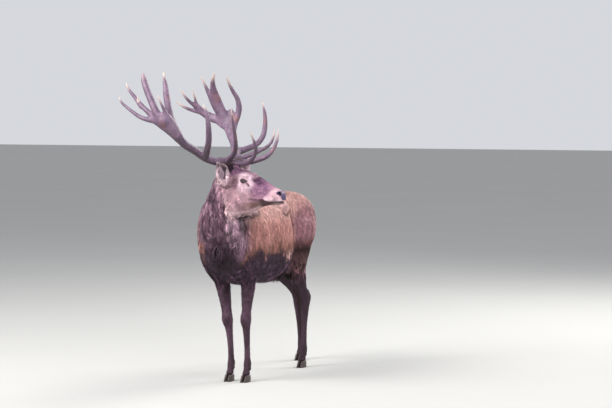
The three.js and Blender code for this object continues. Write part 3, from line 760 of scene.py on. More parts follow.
def placed(name, data):
    """An object with this data, in the scene."""
    made = bpy.data.objects.new(name, data)
    bpy.context.scene.collection.objects.link(made)
    return made


def paint(mesh, name, colours):
    """A colour for each point, as an attribute."""
    four = np.ones((len(mesh.vertices), 4), np.float32)
    four[:, :colours.shape[1]] = colours
    layer = mesh.attributes.new(name, "FLOAT_COLOR", "POINT")
    layer.data.foreach_set("color", four.ravel())


def add_piece(mesh, material, slot, nodes=()):
    """Put a finished mesh in the scene, in the name of the solids that it stands for."""
    piece = placed(mesh.name, mesh)
    mesh.materials.clear()
    mesh.materials.append(material)
    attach(piece, "root")
    if nodes:
        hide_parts(*nodes)
    return piece


# ------------------------------------------------------------------ markings

def linear(colour):
    c = np.array(colour, float) / 255.0
    return np.where(c <= 0.04045, c / 12.92, ((c + 0.055) / 1.055) ** 2.4)


class Layers:
    """One colour for each place, with others laid over it by shares."""

    def __init__(self, ground, count):
        self.colour = np.tile(np.array(ground), (count, 1))

    def lay(self, other, share):
        self.colour = self.colour + (np.asarray(other, float) - self.colour) * np.asarray(share)[:, None]
        return self.colour


def value_noise(points, size, seed):
    """Smooth noise from 0 to 1 with features about size across."""
    rng = np.random.default_rng(seed)
    table = rng.random(4096)
    g = points / size
    i = np.floor(g).astype(np.int64)
    f = g - i
    f = f * f * (3 - 2 * f)
    out = np.zeros(len(points))
    for o, weight in cell_corners(f):
        n = i + o
        key = (n[:, 0] * 73856093 ^ n[:, 1] * 19349663 ^ n[:, 2] * 83492791) & 4095
        out += weight * table[key]
    return out


def spot(points, centre, half):
    """A soft round mark: 1 in its middle, 0 from its edge on."""
    q = np.linalg.norm((points - np.array(centre, float)) / np.array(half, float), axis=1)
    return ramp(-q, -1.0, -0.45)


def markings(points, tones):
    """The colour of the coat at each place, in linear light, and its kind of lie."""
    x, y, z = points.T
    local = to_head(points)
    f, s, u = local[:, 0], np.abs(local[:, 1]), local[:, 2]
    wobble = 60 * (value_noise(points, 70.0, 1) - 0.5) + 30 * (value_noise(points, 22.0, 2) - 0.5)
    coat = Layers(tones.flank, len(points))
    coat.lay(tones.flank_high, 0.8 * ramp(z + wobble, 1060, 1150))
    coat.lay(tones.flank_low, ramp(-z + wobble * 0.6, -985, -905))
    coat.lay(tones.back, 0.7 * ramp(z, 1195, 1260))
    lobe = spot(np.abs(points), (160, 12, 1168), (70, 112, 64))
    coat.lay(tones.pale_hip, np.interp(x, [-60, 60], [0.45, 1.0]) * np.clip(1.6 * lobe, 0, 1))
    thigh = thigh_share(points)
    coat.lay(tones.thigh, thigh)
    coat.lay(tones.thigh_low, thigh * ramp(-z + wobble * 0.5, -985, -905))
    coat.lay(tones.gaskin, thigh * ramp(-z + wobble * 0.4, -880, -820))
    # Darker band across the lower thigh: partly dark hair, partly painted shade under the bulge of the thigh.
    band = thigh * np.exp(-((z - 862 + 0.3 * wobble) / 30) ** 2)
    coat.lay(tones.dark_hair_and_shade, 0.9 * band)
    rump = ramp(y + 0.5 * wobble, 380, 520) * ramp(z, 900, 1010)
    coat.lay(tones.rump, 0.7 * rump)
    patch = np.hypot((x - 20 + 0.8 * wobble) / (84 + 0.3 * np.maximum(z - 1000, 0)),
                     (z + 1.6 * wobble - 1050) / 190)
    coat.lay(tones.rump_patch, 0.6 * ramp(-patch, -1.5, -0.4) * ramp(y, 400, 570))
    tail = ramp(-np.hypot((x - 21) / 30, (y - 618) / 30), -1.3, -0.9)
    tail = tail * ramp(z, 955, 975) * ramp(-z, -1160, -1120)
    coat.lay(tones.tail, tail)
    # Painted shade in the crease below and in front of the lobe of the hip.
    coat.lay(tones.crease, 0.85 * lobe_crease(points) * ramp(x, 40, 110))
    # Painted shade in the crease between the barrel and the thigh.
    flank_crease_shade = np.exp(-((y - flank_edge(z) - 4 + 0.25 * wobble) / 19) ** 2)
    flank_crease_shade = flank_crease_shade * ramp(z, 800, 900) * ramp(-z, -1170, -1060)
    coat.lay(tones.crease, 0.8 * flank_crease_shade * ramp(np.abs(x), 40, 110))
    belly = ramp(-z + wobble * 1.1, -912, -842) * (1 - thigh)
    coat.lay(tones.belly, belly)
    patch = spot(points, (206, -560, 880), (70, 90, 62)) + spot(points, (-206, -560, 880), (70, 90, 62))
    coat.lay(tones.belly, 0.9 * np.clip(patch, 0, 1))
    stifle = spot(np.abs(points), (190, 56, 850), (70, 62, 56))
    coat.lay(tones.stifle, 0.75 * np.clip(1.4 * stifle, 0, 1) * ramp(wobble, -22, 6))
    leg = ramp(-z + 0.8 * wobble, -745, -610)
    coat.lay(tones.leg, leg)
    blotch = ramp(value_noise(points * [1, 1, 0.35], 34.0, 5), 0.45, 0.8)
    coat.lay(tones.leg_dark, leg * 0.8 * blotch)
    coat.lay(tones.leg_dark, 0.6 * leg * ramp(y, 100, 200))
    # Painted shade between the hind legs: the body under them and their inner sides darker.
    inner = ramp(-np.abs(x - 12), -84, -50) * ramp(-z, -860, -800) * ramp(y, 120, 190)
    coat.lay(tones.dark_hair_and_shade, 0.95 * inner)
    coat.lay(tones.leg_dark, 0.7 * ramp(-z, -210, -110))
    mane = mane_share(points)
    coat.lay(mane_colour(points, wobble, tones), mane)
    # Painted shadow of the jaw: a dark line on the shoulder and flank just below where the jaw lies.
    under_jaw = np.interp(y, [-739, -676, -652, -608, -517, -379, -280],
                          [1102, 1117, 1132, 1147, 1161, 1173, 1180])
    line = np.exp(-((z - under_jaw) / (12 + 8 * ramp(-y, 540, 660))) ** 2) * ramp(x, 90, 130)
    coat.lay(tones.dark_hair_and_shade, 0.85 * line * ramp(-y, 430, 560) * ramp(y, -760, -700))
    head = ramp(f * 0.9 + (u + 150) * 0.42, 4, 54) * ramp(z, 1140, 1180) * ramp(-s, -240, -215)
    ear = ramp(s, 84, 100) * ramp(u, -120, -84) * ramp(z, 1300, 1340)
    coat.lay(face_colour(local, s, wobble, tones), np.maximum(head, ear))
    coat.lay(ear_colour(local, s, tones), ear)
    nose = ramp(f, 424, 436) * ramp(u, -212, -204) * ramp(z, 1140, 1180)
    kind = np.stack([thigh * (1 - leg), mane * (1 - head), np.maximum(head, ear), nose], -1)
    return np.clip(coat.colour, 0.002, 1), np.clip(kind, 0, 1)


def flank_edge(z):
    """How far back the crease between the barrel and the thigh lies, by height."""
    return 92 + 20 * ramp(z, 900, 1150) + 46 * ramp(-z, -900, -760)


def thigh_share(points):
    y, z = points[:, 1:].T
    edge = flank_edge(z) + 60 * ramp(z, 1130, 1230) + 60 * (value_noise(points, 48.0, 31) - 0.5)
    soft = 84 + 150 * ramp(z, 1040, 1200)
    return ramp(y, edge - 22, edge + soft) * ramp(z, 640, 760) * ramp(-z, -1250, -1120)


def mane_colour(points, wobble, tones):
    x, y, z = points.T
    streak = value_noise(points * [1, 1, 0.10], 9.0, 8)
    wide = value_noise(points * [1, 1, 0.2], 26.0, 9)
    hair = Layers(tones.mane, len(points))
    middle = ramp(x + 0.3 * wobble, -75, -35) * ramp(-x, -140, -60)
    hair.lay(tones.mane_dark, 0.5 * middle * ramp(-z, -1240, -1120))
    hair.lay(tones.mane_dark, 0.8 * ramp(wide, 0.5, 0.78))
    hair.lay(tones.mane_light, 0.6 * ramp(streak, 0.58, 0.85))
    fan = spot(points, (122, -770, 1070), (86, 120, 120))
    hair.lay(tones.mane_light, 0.75 * np.clip(1.4 * fan, 0, 1))
    throat = 1.9 * spot(points, (134, -820, 1186), (62, 100, 98))
    throat = throat + 1.5 * spot(points, (150, -820, 1266), (96, 110, 96))
    hair.lay(tones.throat, 0.78 * np.clip(throat, 0, 1))
    # Painted shade: a thin dark line under the lower edge of the pale throat.
    below = np.exp(-((z - 1094 - 0.25 * (x - 110)) / 13) ** 2) * ramp(x, 40, 70) * ramp(-x, -180, -140)
    hair.lay(tones.mane_dark, 0.75 * below * ramp(-y, 700, 740))
    # Painted shadow of the jaw on the neck and shoulder, in the dark tone of the chest.
    under = spot(points, (190, -730, 1160), (74, 84, 74))
    hair.lay(tones.chest, 0.95 * np.clip(1.8 * under, 0, 1))
    hair.lay(tones.mane_dark, 0.85 * ramp(-z + wobble * 0.8, -1060, -985) * ramp(-x, -130, -90))
    hair.lay(tones.chest, 0.9 * ramp(-z + wobble * 0.9, -965, -880))
    tan = spot(points, (-150, -705, 985), (60, 70, 50)) + spot(points, (205, -650, 930), (60, 60, 60))
    return hair.lay(tones.flank_low, 0.8 * np.clip(tan, 0, 1))


def face_colour(local, s, wobble, tones):
    f, side, u = local.T
    flat = local * [1, 0, 1]
    face = Layers(tones.cheek, len(local))
    below_top = np.interp(f, HEAD_TABLE[:, 0], HEAD_TABLE[:, 2]) - u
    face.lay(tones.muzzle, ramp(f, 215, 260))
    forehead = ramp(-below_top + 0.3 * wobble, -58, -24)
    face.lay(tones.forehead, forehead * ramp(-f, -270, -215))
    patchy = ramp(value_noise(local * [0.45, 1, 1.3] + 0.35 * wobble[:, None], 9.0, 14), 0.2, 0.7)
    bridge = ramp(f + 1.2 * wobble, 176, 284) * ramp(-f - 0.6 * wobble, -400, -300)
    bridge = bridge * ramp(-below_top + 0.5 * wobble, -74, -30)
    face.lay(tones.bridge, (0.55 + 0.4 * patchy) * bridge)
    across = (f - 274) * 0.88 - (u + 80) * 0.47
    away = (f - 274) * 0.47 + (u + 80) * 0.88
    dark = ramp(-np.hypot(across / 66, away / 34) + 0.010 * wobble, -1.1, -0.35)
    face.lay(tones.bridge_dark, (0.45 + 0.5 * patchy) * dark)
    side = spot(flat, (318, 0, -150), (70, 1, 54)) + spot(flat, (262, 0, -150), (60, 1, 44))
    face.lay(tones.bridge, 0.75 * patchy * np.clip(1.4 * side, 0, 1))
    pale_brow = spot(flat, (212, 0, -36), (40, 1, 20)) + spot(flat, (250, 0, -52), (30, 1, 13))
    face.lay(tones.cheek, 0.8 * np.clip(pale_brow, 0, 1) * ramp(wobble, -16, 8))
    ring = np.hypot((f - 192 + 0.6 * wobble) / 57, (u + 86 + 0.5 * wobble) / 74)
    face.lay(tones.eye_ring, (0.65 + 0.3 * patchy) * ramp(-ring, -1.3, -0.6) * (s > 30))
    face.lay(tones.cheek_dark, 0.75 * spot(flat, (128, 0, -96), (34, 1, 52)))
    # Painted shade in the gap between the ear, the antler's root and the forehead.
    gap_shade = np.clip(1.6 * spot(flat, (86, 0, 12), (30, 1, 44)), 0, 1) * ramp(s, 26, 50) * ramp(-s, -112, -92)
    face.lay(tones.lids, 0.85 * gap_shade)
    # Painted shadow below the root of the ear.
    face.lay(tones.lids, 0.55 * spot(flat, (76, 0, -122), (44, 1, 18)) * (s > 40))
    jaw = ramp(-u + 0.2 * wobble, 206, 236) * ramp(-f, -340, -280) * ramp(f, 130, 250)
    face.lay(tones.jaw, 0.9 * jaw)
    rise = u - np.interp(f, HEAD_TABLE[:, 0], HEAD_TABLE[:, 4])
    thick = np.interp(f, [140, 300], [30, 9])
    face.lay(tones.throat, 0.4 * ramp(-rise, -thick - 8, -thick + 8) * ramp(-f, -320, -270))
    # Painted shade along the lower edge of the cheek.
    line = np.exp(-((u + 206 + 0.10 * (f - 260)) / 9) ** 2) * ramp(f, 190, 230) * ramp(-f, -330, -300)
    face.lay(tones.chin, 0.75 * line)
    under = ramp(-u + 0.10 * (f - 240), 212, 224) * ramp(f, 200, 240) * ramp(-f, -330, -290)
    face.lay(tones.chin, 0.45 * under * ramp(rise, thick, thick + 14))
    lip_edge = np.interp(f, [316, 330, 346, 360, 374, 390, 404], [-202, -184, -170, -158, -146, -130, -104])
    mouth = np.interp(f, *np.array(MOUTH_LINE, float).T)
    pale = ramp(f + 0.2 * wobble, 310, 328) * ramp(lip_edge - u + 0.3 * wobble, -12, 12)
    pale = pale * ramp(u - mouth, -2, 3)
    face.lay(tones.lip, 0.95 * pale)
    face.lay(tones.lip_light, ramp(-u, 186, 204) * pale)
    face.lay(tones.muzzle, 0.55 * spot(flat, (412, 0, -192), (26, 1, 12)))
    chin = ramp(f + 0.2 * wobble, 280, 316) * ramp(mouth - u, -1, 3)
    face.lay(tones.chin, 0.9 * chin)
    face.lay(tones.chin_light, 0.8 * chin * ramp(f + 0.3 * wobble, 350, 400) * ramp(mouth - u, 7, 12))
    pad = ramp(f - 428 - 0.36 * np.maximum(-148 - u, 0), 0, 5) * ramp(u, -210, -203) * ramp(-u, 136, 143)
    nostril = spot(flat, (428, 0, -158), (20, 1, 16))
    face.lay(tones.nose, np.clip(pad + nostril * 1.4, 0, 1))
    face.lay(tones.lids, 0.4 * pad * np.exp(-((f - 431 - 0.36 * np.maximum(-148 - u, 0)) / 5) ** 2))
    hole = spot(flat, (430, 0, -158), (13, 1, 9)) + spot(flat, (437, 0, -168), (6, 1, 12))
    face.lay(tones.lids, np.clip(1.9 * hole, 0, 1) * (s > 12))
    face.lay(tones.chin_light, 0.5 * spot(flat, (444, 0, -152), (9, 1, 8)) * pad)
    face.lay(tones.lids, 0.9 * np.exp(-((u - mouth) / 3.2) ** 2) * ramp(f, 312, 324))
    face.colour = face.colour * (0.84 + 0.32 * value_noise(local, 7.0, 33))[:, None]
    x, z = eye_place(np.stack([f, s, u], -1))
    top, low = lid_lines(x)
    lid = ramp(-np.maximum(z - top, -z - low), -4.4, -1.4) * (s > 58) * (np.abs(x) < 26)
    face.lay(tones.lids, 0.95 * lid)
    # Painted shade in the crease above the upper lid.
    lid_crease_shade = np.exp(-((z - top - 7.0) / 2.6) ** 2 - (x / 24) ** 4) * (s > 58)
    face.lay(tones.cheek_dark, 0.4 * lid_crease_shade)
    return face.lay(tones.lids, 0.95 * slit_share(f, u, 5.5) * (s > 30))


def ear_colour(local, s, tones):
    mirror = np.stack([local[:, 0], s, local[:, 2]], -1)
    hollow, _ = limb_field(mirror, HOLLOW_TABLE, ACROSS)
    middle = np.interp(local[:, 2], HOLLOW_TABLE[:, 2], HOLLOW_TABLE[:, 0])
    half = np.interp(local[:, 2], HOLLOW_TABLE[:, 2], HOLLOW_TABLE[:, 3])
    across = (local[:, 0] - middle) / half
    inside = ramp(-hollow, -6.5, -3.5)
    ear = Layers(tones.ear, len(local))
    ear.lay(tones.ear_inside, inside)
    # Painted shade in the hollow of the ear: a dark slit behind its front margin, and its deepest part darker.
    slit = np.exp(-((across - 0.36) / 0.22) ** 2) * ramp(-hollow, -8, -5)
    ear.lay(tones.ear_hollow_shade, 0.97 * slit)
    ear.lay(tones.ear_hollow_shade, 0.85 * inside * spot(local * [1, 0, 1], (84, 0, 2), (26, 1, 34)))
    return ear.lay(tones.ear_rim, 0.85 * ramp(np.abs(across), 0.95, 1.25) * ramp(s, 120, 140))


# ------------------------------------------------------------------ the lie of the coat

def lie_of(points, kind):
    """Which way the hair points, before it is laid along the skin."""
    x, y, z = points.T
    local = to_head(points)
    out = np.zeros_like(points)
    out[:] = (0.0, 0.38, -0.92)
    side = np.sign(x)
    thigh = kind[:, 0:1]
    out = out * (1 - thigh) + np.array([0.0, 0.35, -0.94]) * thigh
    leg = ramp(-z, -760, -660)[:, None]
    out = out * (1 - leg) + np.array([0.0, 0.12, -1.0]) * leg
    mane = kind[:, 1:2]
    hang = np.stack([0.10 * side, 0.10 + 0 * x, -1.0 + 0 * x], -1)
    out = out * (1 - mane) + hang * mane
    head = kind[:, 2:3]
    back = np.stack([-1.0 + 0 * x, 0 * x, -0.42 * ramp(-local[:, 0], -330, -60)], -1) @ HEAD_AXES
    out = out * (1 - head) + back * head
    ear = ramp(np.abs(local[:, 1]), 92, 116) * ramp(local[:, 2], -110, -76) * ramp(z, 1300, 1340)
    tip = np.stack([0.3 + 0 * x, 0.72 * np.sign(local[:, 1]), 0.9 + 0 * x], -1) @ HEAD_AXES
    out = out * (1 - ear[:, None]) + tip * ear[:, None]
    tail = (ramp(y, 598, 612) * ramp(z, 940, 960))[:, None]
    out = out * (1 - tail) + np.array([0.0, 0.1, -1.0]) * tail
    return out


class Region:
    """One part of the coat: where it grows, how much, and the sizes of its tufts."""

    def __init__(self, name, count, length, width, lift, follow, curl, gather, where, chart, pale=0.0):
        self.name, self.count, self.length, self.width = name, count, length, width
        self.lift, self.follow, self.curl, self.gather = lift, follow, curl, gather
        self.where, self.chart, self.pale = where, chart, pale


def tube_chart(axis_a, axis_b, along, low, high, centre):
    """Round and along a body part, laid out flat over the whole map."""
    def place(points):
        mid = centre(points) if callable(centre) else np.array(centre, float)
        v = points - mid
        round_ = np.arctan2(v[:, axis_b], v[:, axis_a]) / (2 * math.pi) + 0.5
        far = (points[:, along] - low) / (high - low)
        return np.stack([0.02 + 0.96 * round_, 0.02 + 0.96 * np.clip(far, 0, 1)], -1)
    return place


def legs_chart(points):
    """Each leg laid out flat in its own quarter of the map."""
    fore = points[:, 1] < 0
    right = points[:, 0] < 20
    out = np.zeros((len(points), 2))
    for is_fore in (True, False):
        for is_right in (True, False):
            pick = (fore == is_fore) & (right == is_right)
            name = ("fore_" if is_fore else "hind_") + ("right" if is_right else "left")
            t = LEG_TABLES[name]
            z = points[pick, 2]
            mid = np.stack([np.interp(z, t[:, 2], t[:, 0]), np.interp(z, t[:, 2], t[:, 1])], -1)
            v = points[pick, :2] - mid
            round_ = np.arctan2(v[:, 0], v[:, 1]) / (2 * math.pi) + 0.5
            far = np.clip((z - 40) / 720, 0, 1)
            out[pick] = np.stack([(0 if is_fore else 0.5) + 0.02 + 0.46 * round_,
                                  (0 if is_right else 0.5) + 0.02 + 0.46 * far], -1)
    return out


def head_chart(points):
    local = to_head(points)
    return tube_chart(1, 2, 0, -60, 470, (0, 0, -140))(local)


def neck_middle(points):
    z = points[:, 2]
    t = NECK_TABLE
    return np.stack([np.interp(z, t[:, 2], t[:, 0]), np.interp(z, t[:, 2], t[:, 1]), z], -1)


def face_sizes(points, kind):
    """Shares of length and of density on the face: least on the muzzle, most in the ears."""
    local = to_head(points)
    ear = ramp(np.abs(local[:, 1]), 88, 104) * ramp(local[:, 2], -120, -84)
    back = ramp(-local[:, 0], -300, -60)
    length = 0.5 + 0.9 * back + 0.9 * ear
    bare = ramp(local[:, 0], 428, 440) * ramp(local[:, 2], -206, -200)
    x, z = eye_place(mirrored(local))
    eye = (np.hypot((x + 4) / 37, z / 24) < 1) & (np.abs(local[:, 1]) > 50)
    mirror = mirrored(local)
    hollow, _ = limb_field(mirror, HOLLOW_TABLE, ACROSS)
    rear = ramp(-local[:, 0], -62, -40) * ear
    return length * (1 + 1.4 * rear), (1 - bare) * ~eye * (1 + 0.8 * ear) * np.where(hollow < 3.5, 0.15, 1)


def neck_sizes(points, kind):
    z = points[:, 2]
    length = 0.72 + 0.45 * ramp(-z, -1330, -1050) - 0.2 * ramp(-z, -900, -760)
    throat = np.clip(1.8 * spot(points, (138, -815, 1205), (100, 115, 138)), 0, 1)
    return length * (1 - 0.72 * throat), 1 + 1.6 * throat


def even_sizes(points, kind):
    lobe = np.clip(1.5 * spot(np.abs(points), (160, 12, 1168), (80, 130, 80)), 0, 1)
    return 1 - 0.5 * lobe, 1 + lobe


def leg_sizes(points, kind):
    z = points[:, 2]
    length = 0.62 + 0.6 * ramp(z, 300, 700)
    fringe = np.exp(-((z - 60) / 26) ** 2)
    return length + 0.5 * fringe, 0.8 + 0.9 * fringe + 0.4 * ramp(z, 450, 700)


def belly_sizes(points, kind):
    z = points[:, 2]
    fringe = ramp(points[:, 1], -140, -40) * ramp(-points[:, 1], -280, -200)
    low = ramp(-z, -800, -680)
    return 0.42 + 0.3 * low + 0.45 * low * fringe, 0.8 + 0.6 * ramp(-z, -800, -700)


def is_head(p, kind):
    return kind[:, 2] > 0.5


def is_mane(p, kind):
    return (kind[:, 1] > 0.35) & (kind[:, 2] <= 0.5)


def is_leg(p, kind):
    return (p[:, 2] < 665) & (np.abs(p[:, 1]) > 150)


def is_belly(p, kind):
    low = p[:, 2] < 800 + 75 * ramp(-p[:, 1], -90, -20)
    return ~is_leg(p, kind) & ~is_mane(p, kind) & ~is_head(p, kind) & low & (p[:, 1] < 330)


def is_trunk(p, kind):
    taken = is_leg(p, kind) | is_mane(p, kind) | is_head(p, kind) | is_belly(p, kind)
    return ~taken


def left(p):
    return p[:, 0] >= 8


def regions(coat):
    """Every coat piece. Lengths and widths are in millimetres."""
    amount = coat.amount
    trunk_map = tube_chart(0, 2, 1, -780, 680, (4, 0, 950))
    neck_map = tube_chart(0, 1, 2, 640, 1520, neck_middle)
    trunk_long, mane_long = coat.trunk_length * 1000, coat.mane_length * 1000
    face_long, leg_long = coat.face_length * 1000, coat.leg_length * 1000

    def trunk(p, kind, rear, is_left):
        back = p[:, 1] > 110
        return is_trunk(p, kind) & (back == rear) & (left(p) == is_left)

    return [
        Region("coat_head", int(12000 * amount), face_long, 2.3, 0.16, 1.0, 0.1, (6, 0.3), is_head,
               (head_chart, face_sizes)),
        Region("coat_neck_left", int(12000 * amount), mane_long, 4.6, 0.13, 0.8, 0.07, (7, 0.45),
               lambda p, k: is_mane(p, k) & left(p), (neck_map, neck_sizes), 0.6),
        Region("coat_neck_right", int(12000 * amount), mane_long, 4.6, 0.13, 0.8, 0.07, (7, 0.45),
               lambda p, k: is_mane(p, k) & ~left(p), (neck_map, neck_sizes), 0.6),
        Region("coat_trunk_left", int(11000 * amount), trunk_long, 3.3, 0.04, 1.0, 0.06, (4, 0.15),
               lambda p, k: trunk(p, k, False, True), (trunk_map, even_sizes)),
        Region("coat_trunk_right", int(11000 * amount), trunk_long, 3.3, 0.04, 1.0, 0.06, (4, 0.15),
               lambda p, k: trunk(p, k, False, False), (trunk_map, even_sizes)),
        Region("coat_rump_left", int(8500 * amount), trunk_long, 3.3, 0.04, 1.0, 0.06, (4, 0.15),
               lambda p, k: trunk(p, k, True, True), (trunk_map, even_sizes)),
        Region("coat_rump_right", int(8500 * amount), trunk_long, 3.3, 0.04, 1.0, 0.06, (4, 0.15),
               lambda p, k: trunk(p, k, True, False), (trunk_map, even_sizes)),
        Region("coat_belly", int(10500 * amount), mane_long * 0.85, 5.0, 0.2, 0.35, 0.25, (7, 0.7),
               is_belly, (trunk_map, belly_sizes), 1.5),
        Region("coat_legs", int(7500 * amount), leg_long, 3.2, 0.12, 1.0, 0.1, (4, 0.3), is_leg,
               (legs_chart, leg_sizes)),
    ]


def locks(roots, share, rng):
    """Gather tufts into locks: the leader of each tuft, and how far its root lies from it."""
    leaders = np.sort(rng.choice(len(roots), max(len(roots) // share, 1), replace=False))
    tree = KDTree(len(leaders))
    for i, leader in enumerate(leaders):
        tree.insert(roots[leader], i)
    tree.balance()
    nearest = np.array([tree.find(root)[1] for root in roots])
    gap = roots[leaders[nearest]] - roots
    return nearest, gap


RINGS = np.array([0.0, 0.34, 0.70])
RING_WIDTHS = np.array([0.8, 1.0, 0.66])


def tuft_mesh(name, solid, roots, normals, lie, length, width, gap, region, rng, chart):
    """Closed tapering locks, laid along the skin and bent to follow it."""
    n = len(roots)
    along = lie - normals * (lie * normals).sum(1)[:, None]
    along /= np.maximum(np.linalg.norm(along, axis=1), 1e-6)[:, None]
    side = np.cross(normals, along)
    turn = rng.normal(0, 0.10, n)[:, None]
    along = along * np.cos(turn) + side * np.sin(turn)
    side = np.cross(normals, along)
    curl = rng.normal(0, region.curl, n)[:, None]
    centres, ups = [], []
    for t in list(RINGS) + [1.0]:
        raw = roots + along * (length * t)[:, None] + side * curl * (length * t * t)[:, None]
        raw = raw + normals * (region.lift * length * t * (1 - 0.35 * t))[:, None]
        raw = raw + gap * region.gather[1] * t ** 1.4
        here, grad = solid.slope(raw, 4.0)
        grad /= np.maximum(np.linalg.norm(grad, axis=1), 1e-6)[:, None]
        wanted = region.lift * length * t * (1 - 0.35 * t) + 0.4 * width * (t > 0)
        pull = (wanted - here) * region.follow
        pull = np.maximum(pull, 0.6 * width * (t > 0) - here)
        pull = np.clip(pull, -length, length * 0.8)
        centres.append(raw + grad * pull[:, None] - normals * (0.5 * width * (t == 0))[:, None])
        ups.append(grad if t > 0 else normals)
    points = np.zeros((n, 10, 3))
    for k in range(3):
        ahead = centres[k + 1] - centres[k]
        ahead /= np.maximum(np.linalg.norm(ahead, axis=1), 1e-6)[:, None]
        across = np.cross(ups[k], ahead)
        across /= np.maximum(np.linalg.norm(across, axis=1), 1e-6)[:, None]
        w = (width * RING_WIDTHS[k] / 2)[:, None]
        points[:, 3 * k] = centres[k] - across * w
        points[:, 3 * k + 1] = centres[k] + np.cross(ahead, across) * w * 0.7
        points[:, 3 * k + 2] = centres[k] + across * w
    points[:, 9] = centres[3]
    faces = []
    for k in range(2):
        for i, j in ((0, 1), (1, 2), (2, 0)):
            a, b = 3 * k + i, 3 * k + j
            faces += [(a, a + 3, b + 3), (a, b + 3, b)]
    faces += [(6, 9, 7), (7, 9, 8), (8, 9, 6), (0, 1, 2)]
    all_faces = (np.arange(n)[:, None, None] * 10 + np.array(faces)[None]).reshape(-1, 3)
    mesh = build_mesh(name, to_metres(points.reshape(-1, 3)), all_faces)
    home = chart(roots)
    spread = np.array([(-1, -1), (0, -1), (1, -1), (-1, -0.3), (0, -0.3), (1, -0.3),
                       (-1, 0.4), (0, 0.4), (1, 0.4), (0, 1)]) * 0.0015
    uv = (home[:, None, :] + spread[None]).reshape(-1, 2)
    layer = mesh.uv_layers.new(name="OFBake")
    layer.data.foreach_set("uv", uv[all_faces.ravel()].astype(np.float32).ravel())
    return mesh


# ------------------------------------------------------------------ shader parts

class Wiring:
    """Short hand for building a node tree."""

    def __init__(self, tree):
        self.tree = tree

    def node(self, kind, inputs=None, **settings):
        made = self.tree.nodes.new(kind)
        for key, value in settings.items():
            setattr(made, key, value)
        for key, value in (inputs or {}).items():
            if isinstance(value, bpy.types.NodeSocket):
                self.tree.links.new(value, made.inputs[key])
            else:
                made.inputs[key].default_value = value
        return made

    def colour_mix(self, share, a, b, blend="MIX"):
        return self.node("ShaderNodeMix", {0: share, 6: a, 7: b}, data_type="RGBA",
                         blend_type=blend).outputs[2]

    def math(self, operation, a, b=0.0):
        return self.node("ShaderNodeMath", {0: a, 1: b}, operation=operation).outputs[0]

    def place(self):
        return self.node("ShaderNodeTexCoord").outputs["Object"]

    def layer(self, name):
        """The three channels of a layer of colours."""
        colours = self.node("ShaderNodeVertexColor", layer_name=name).outputs[0]
        return self.node("ShaderNodeSeparateColor", {"Color": colours}).outputs

    def bump(self, shader, strength, distance, height):
        rise = self.node("ShaderNodeBump", {"Strength": strength, "Distance": distance, "Height": height})
        self.tree.links.new(rise.outputs[0], shader.inputs["Normal"])

    def stretch(self, source, scale):
        return self.node("ShaderNodeMapping", {"Vector": source, "Scale": scale}).outputs[0]

    def noise(self, source, scale, detail=3.0, rough=0.55):
        made = self.node("ShaderNodeTexNoise", {"Vector": source, "Scale": scale, "Detail": detail,
                                                "Roughness": rough})
        return made.outputs["Fac"]

    def spread(self, source, low, high, to_low=0.0, to_high=1.0):
        return self.node("ShaderNodeMapRange", {"Value": source, "From Min": low, "From Max": high,
                                                "To Min": to_low, "To Max": to_high}).outputs[0]


def new_group(name, kind, inputs, outputs):
    """A node tree with named sockets, short hand for its wiring, and its two ends."""
    tree = bpy.data.node_groups.new(name, kind)
    for way, sockets in (("INPUT", inputs), ("OUTPUT", outputs)):
        for label, socket in sockets.items():
            tree.interface.new_socket(label, in_out=way, socket_type="NodeSocket" + socket)
    w = Wiring(tree)
    return tree, w, w.node("NodeGroupInput").outputs, w.node("NodeGroupOutput").inputs


def hair_streaks_group():
    """Fine streaks along the lie of the coat: a tone for the colour, and a height for the bump."""
    known = bpy.data.node_groups.get("Hair streaks")
    if known:
        return known
    tree, w, asked, given = new_group("Hair streaks", "ShaderNodeTree", {"Thigh": "Float", "Face": "Float"},
                                      {"Tone": "Float", "Height": "Float"})
    place = w.place()
    down = w.noise(w.stretch(place, (1.0, 1.0, 0.16)), 190.0, 4.0, 0.6)
    wide = w.noise(w.stretch(place, (1.0, 1.0, 0.3)), 46.0, 3.0, 0.55)
    level = w.noise(w.stretch(place, (0.35, 0.35, 1.6)), 120.0, 4.0, 0.6)
    fine = w.noise(w.stretch(place, (0.5, 1.0, 1.0)), 420.0, 3.0, 0.6)
    cloth = w.node("ShaderNodeMix", {"Factor": asked["Thigh"], "A": down, "B": level})
    face = w.node("ShaderNodeMix", {"Factor": asked["Face"], "A": cloth.outputs[0], "B": fine})
    tone = w.math("ADD", w.math("MULTIPLY", face.outputs[0], 0.65), w.math("MULTIPLY", wide, 0.35))
    tree.links.new(w.spread(tone, 0.3, 0.7), given["Tone"])
    tree.links.new(face.outputs[0], given["Height"])
    return tree


def principled(name, roughness, settings=None):
    material = bpy.data.materials.new(name)
    material.use_nodes = True
    w = Wiring(material.node_tree)
    shader = material.node_tree.nodes["Principled BSDF"]
    shader.inputs["Roughness"].default_value = roughness
    for key, value in (settings or {}).items():
        shader.inputs[key].default_value = value
    return material, w, shader


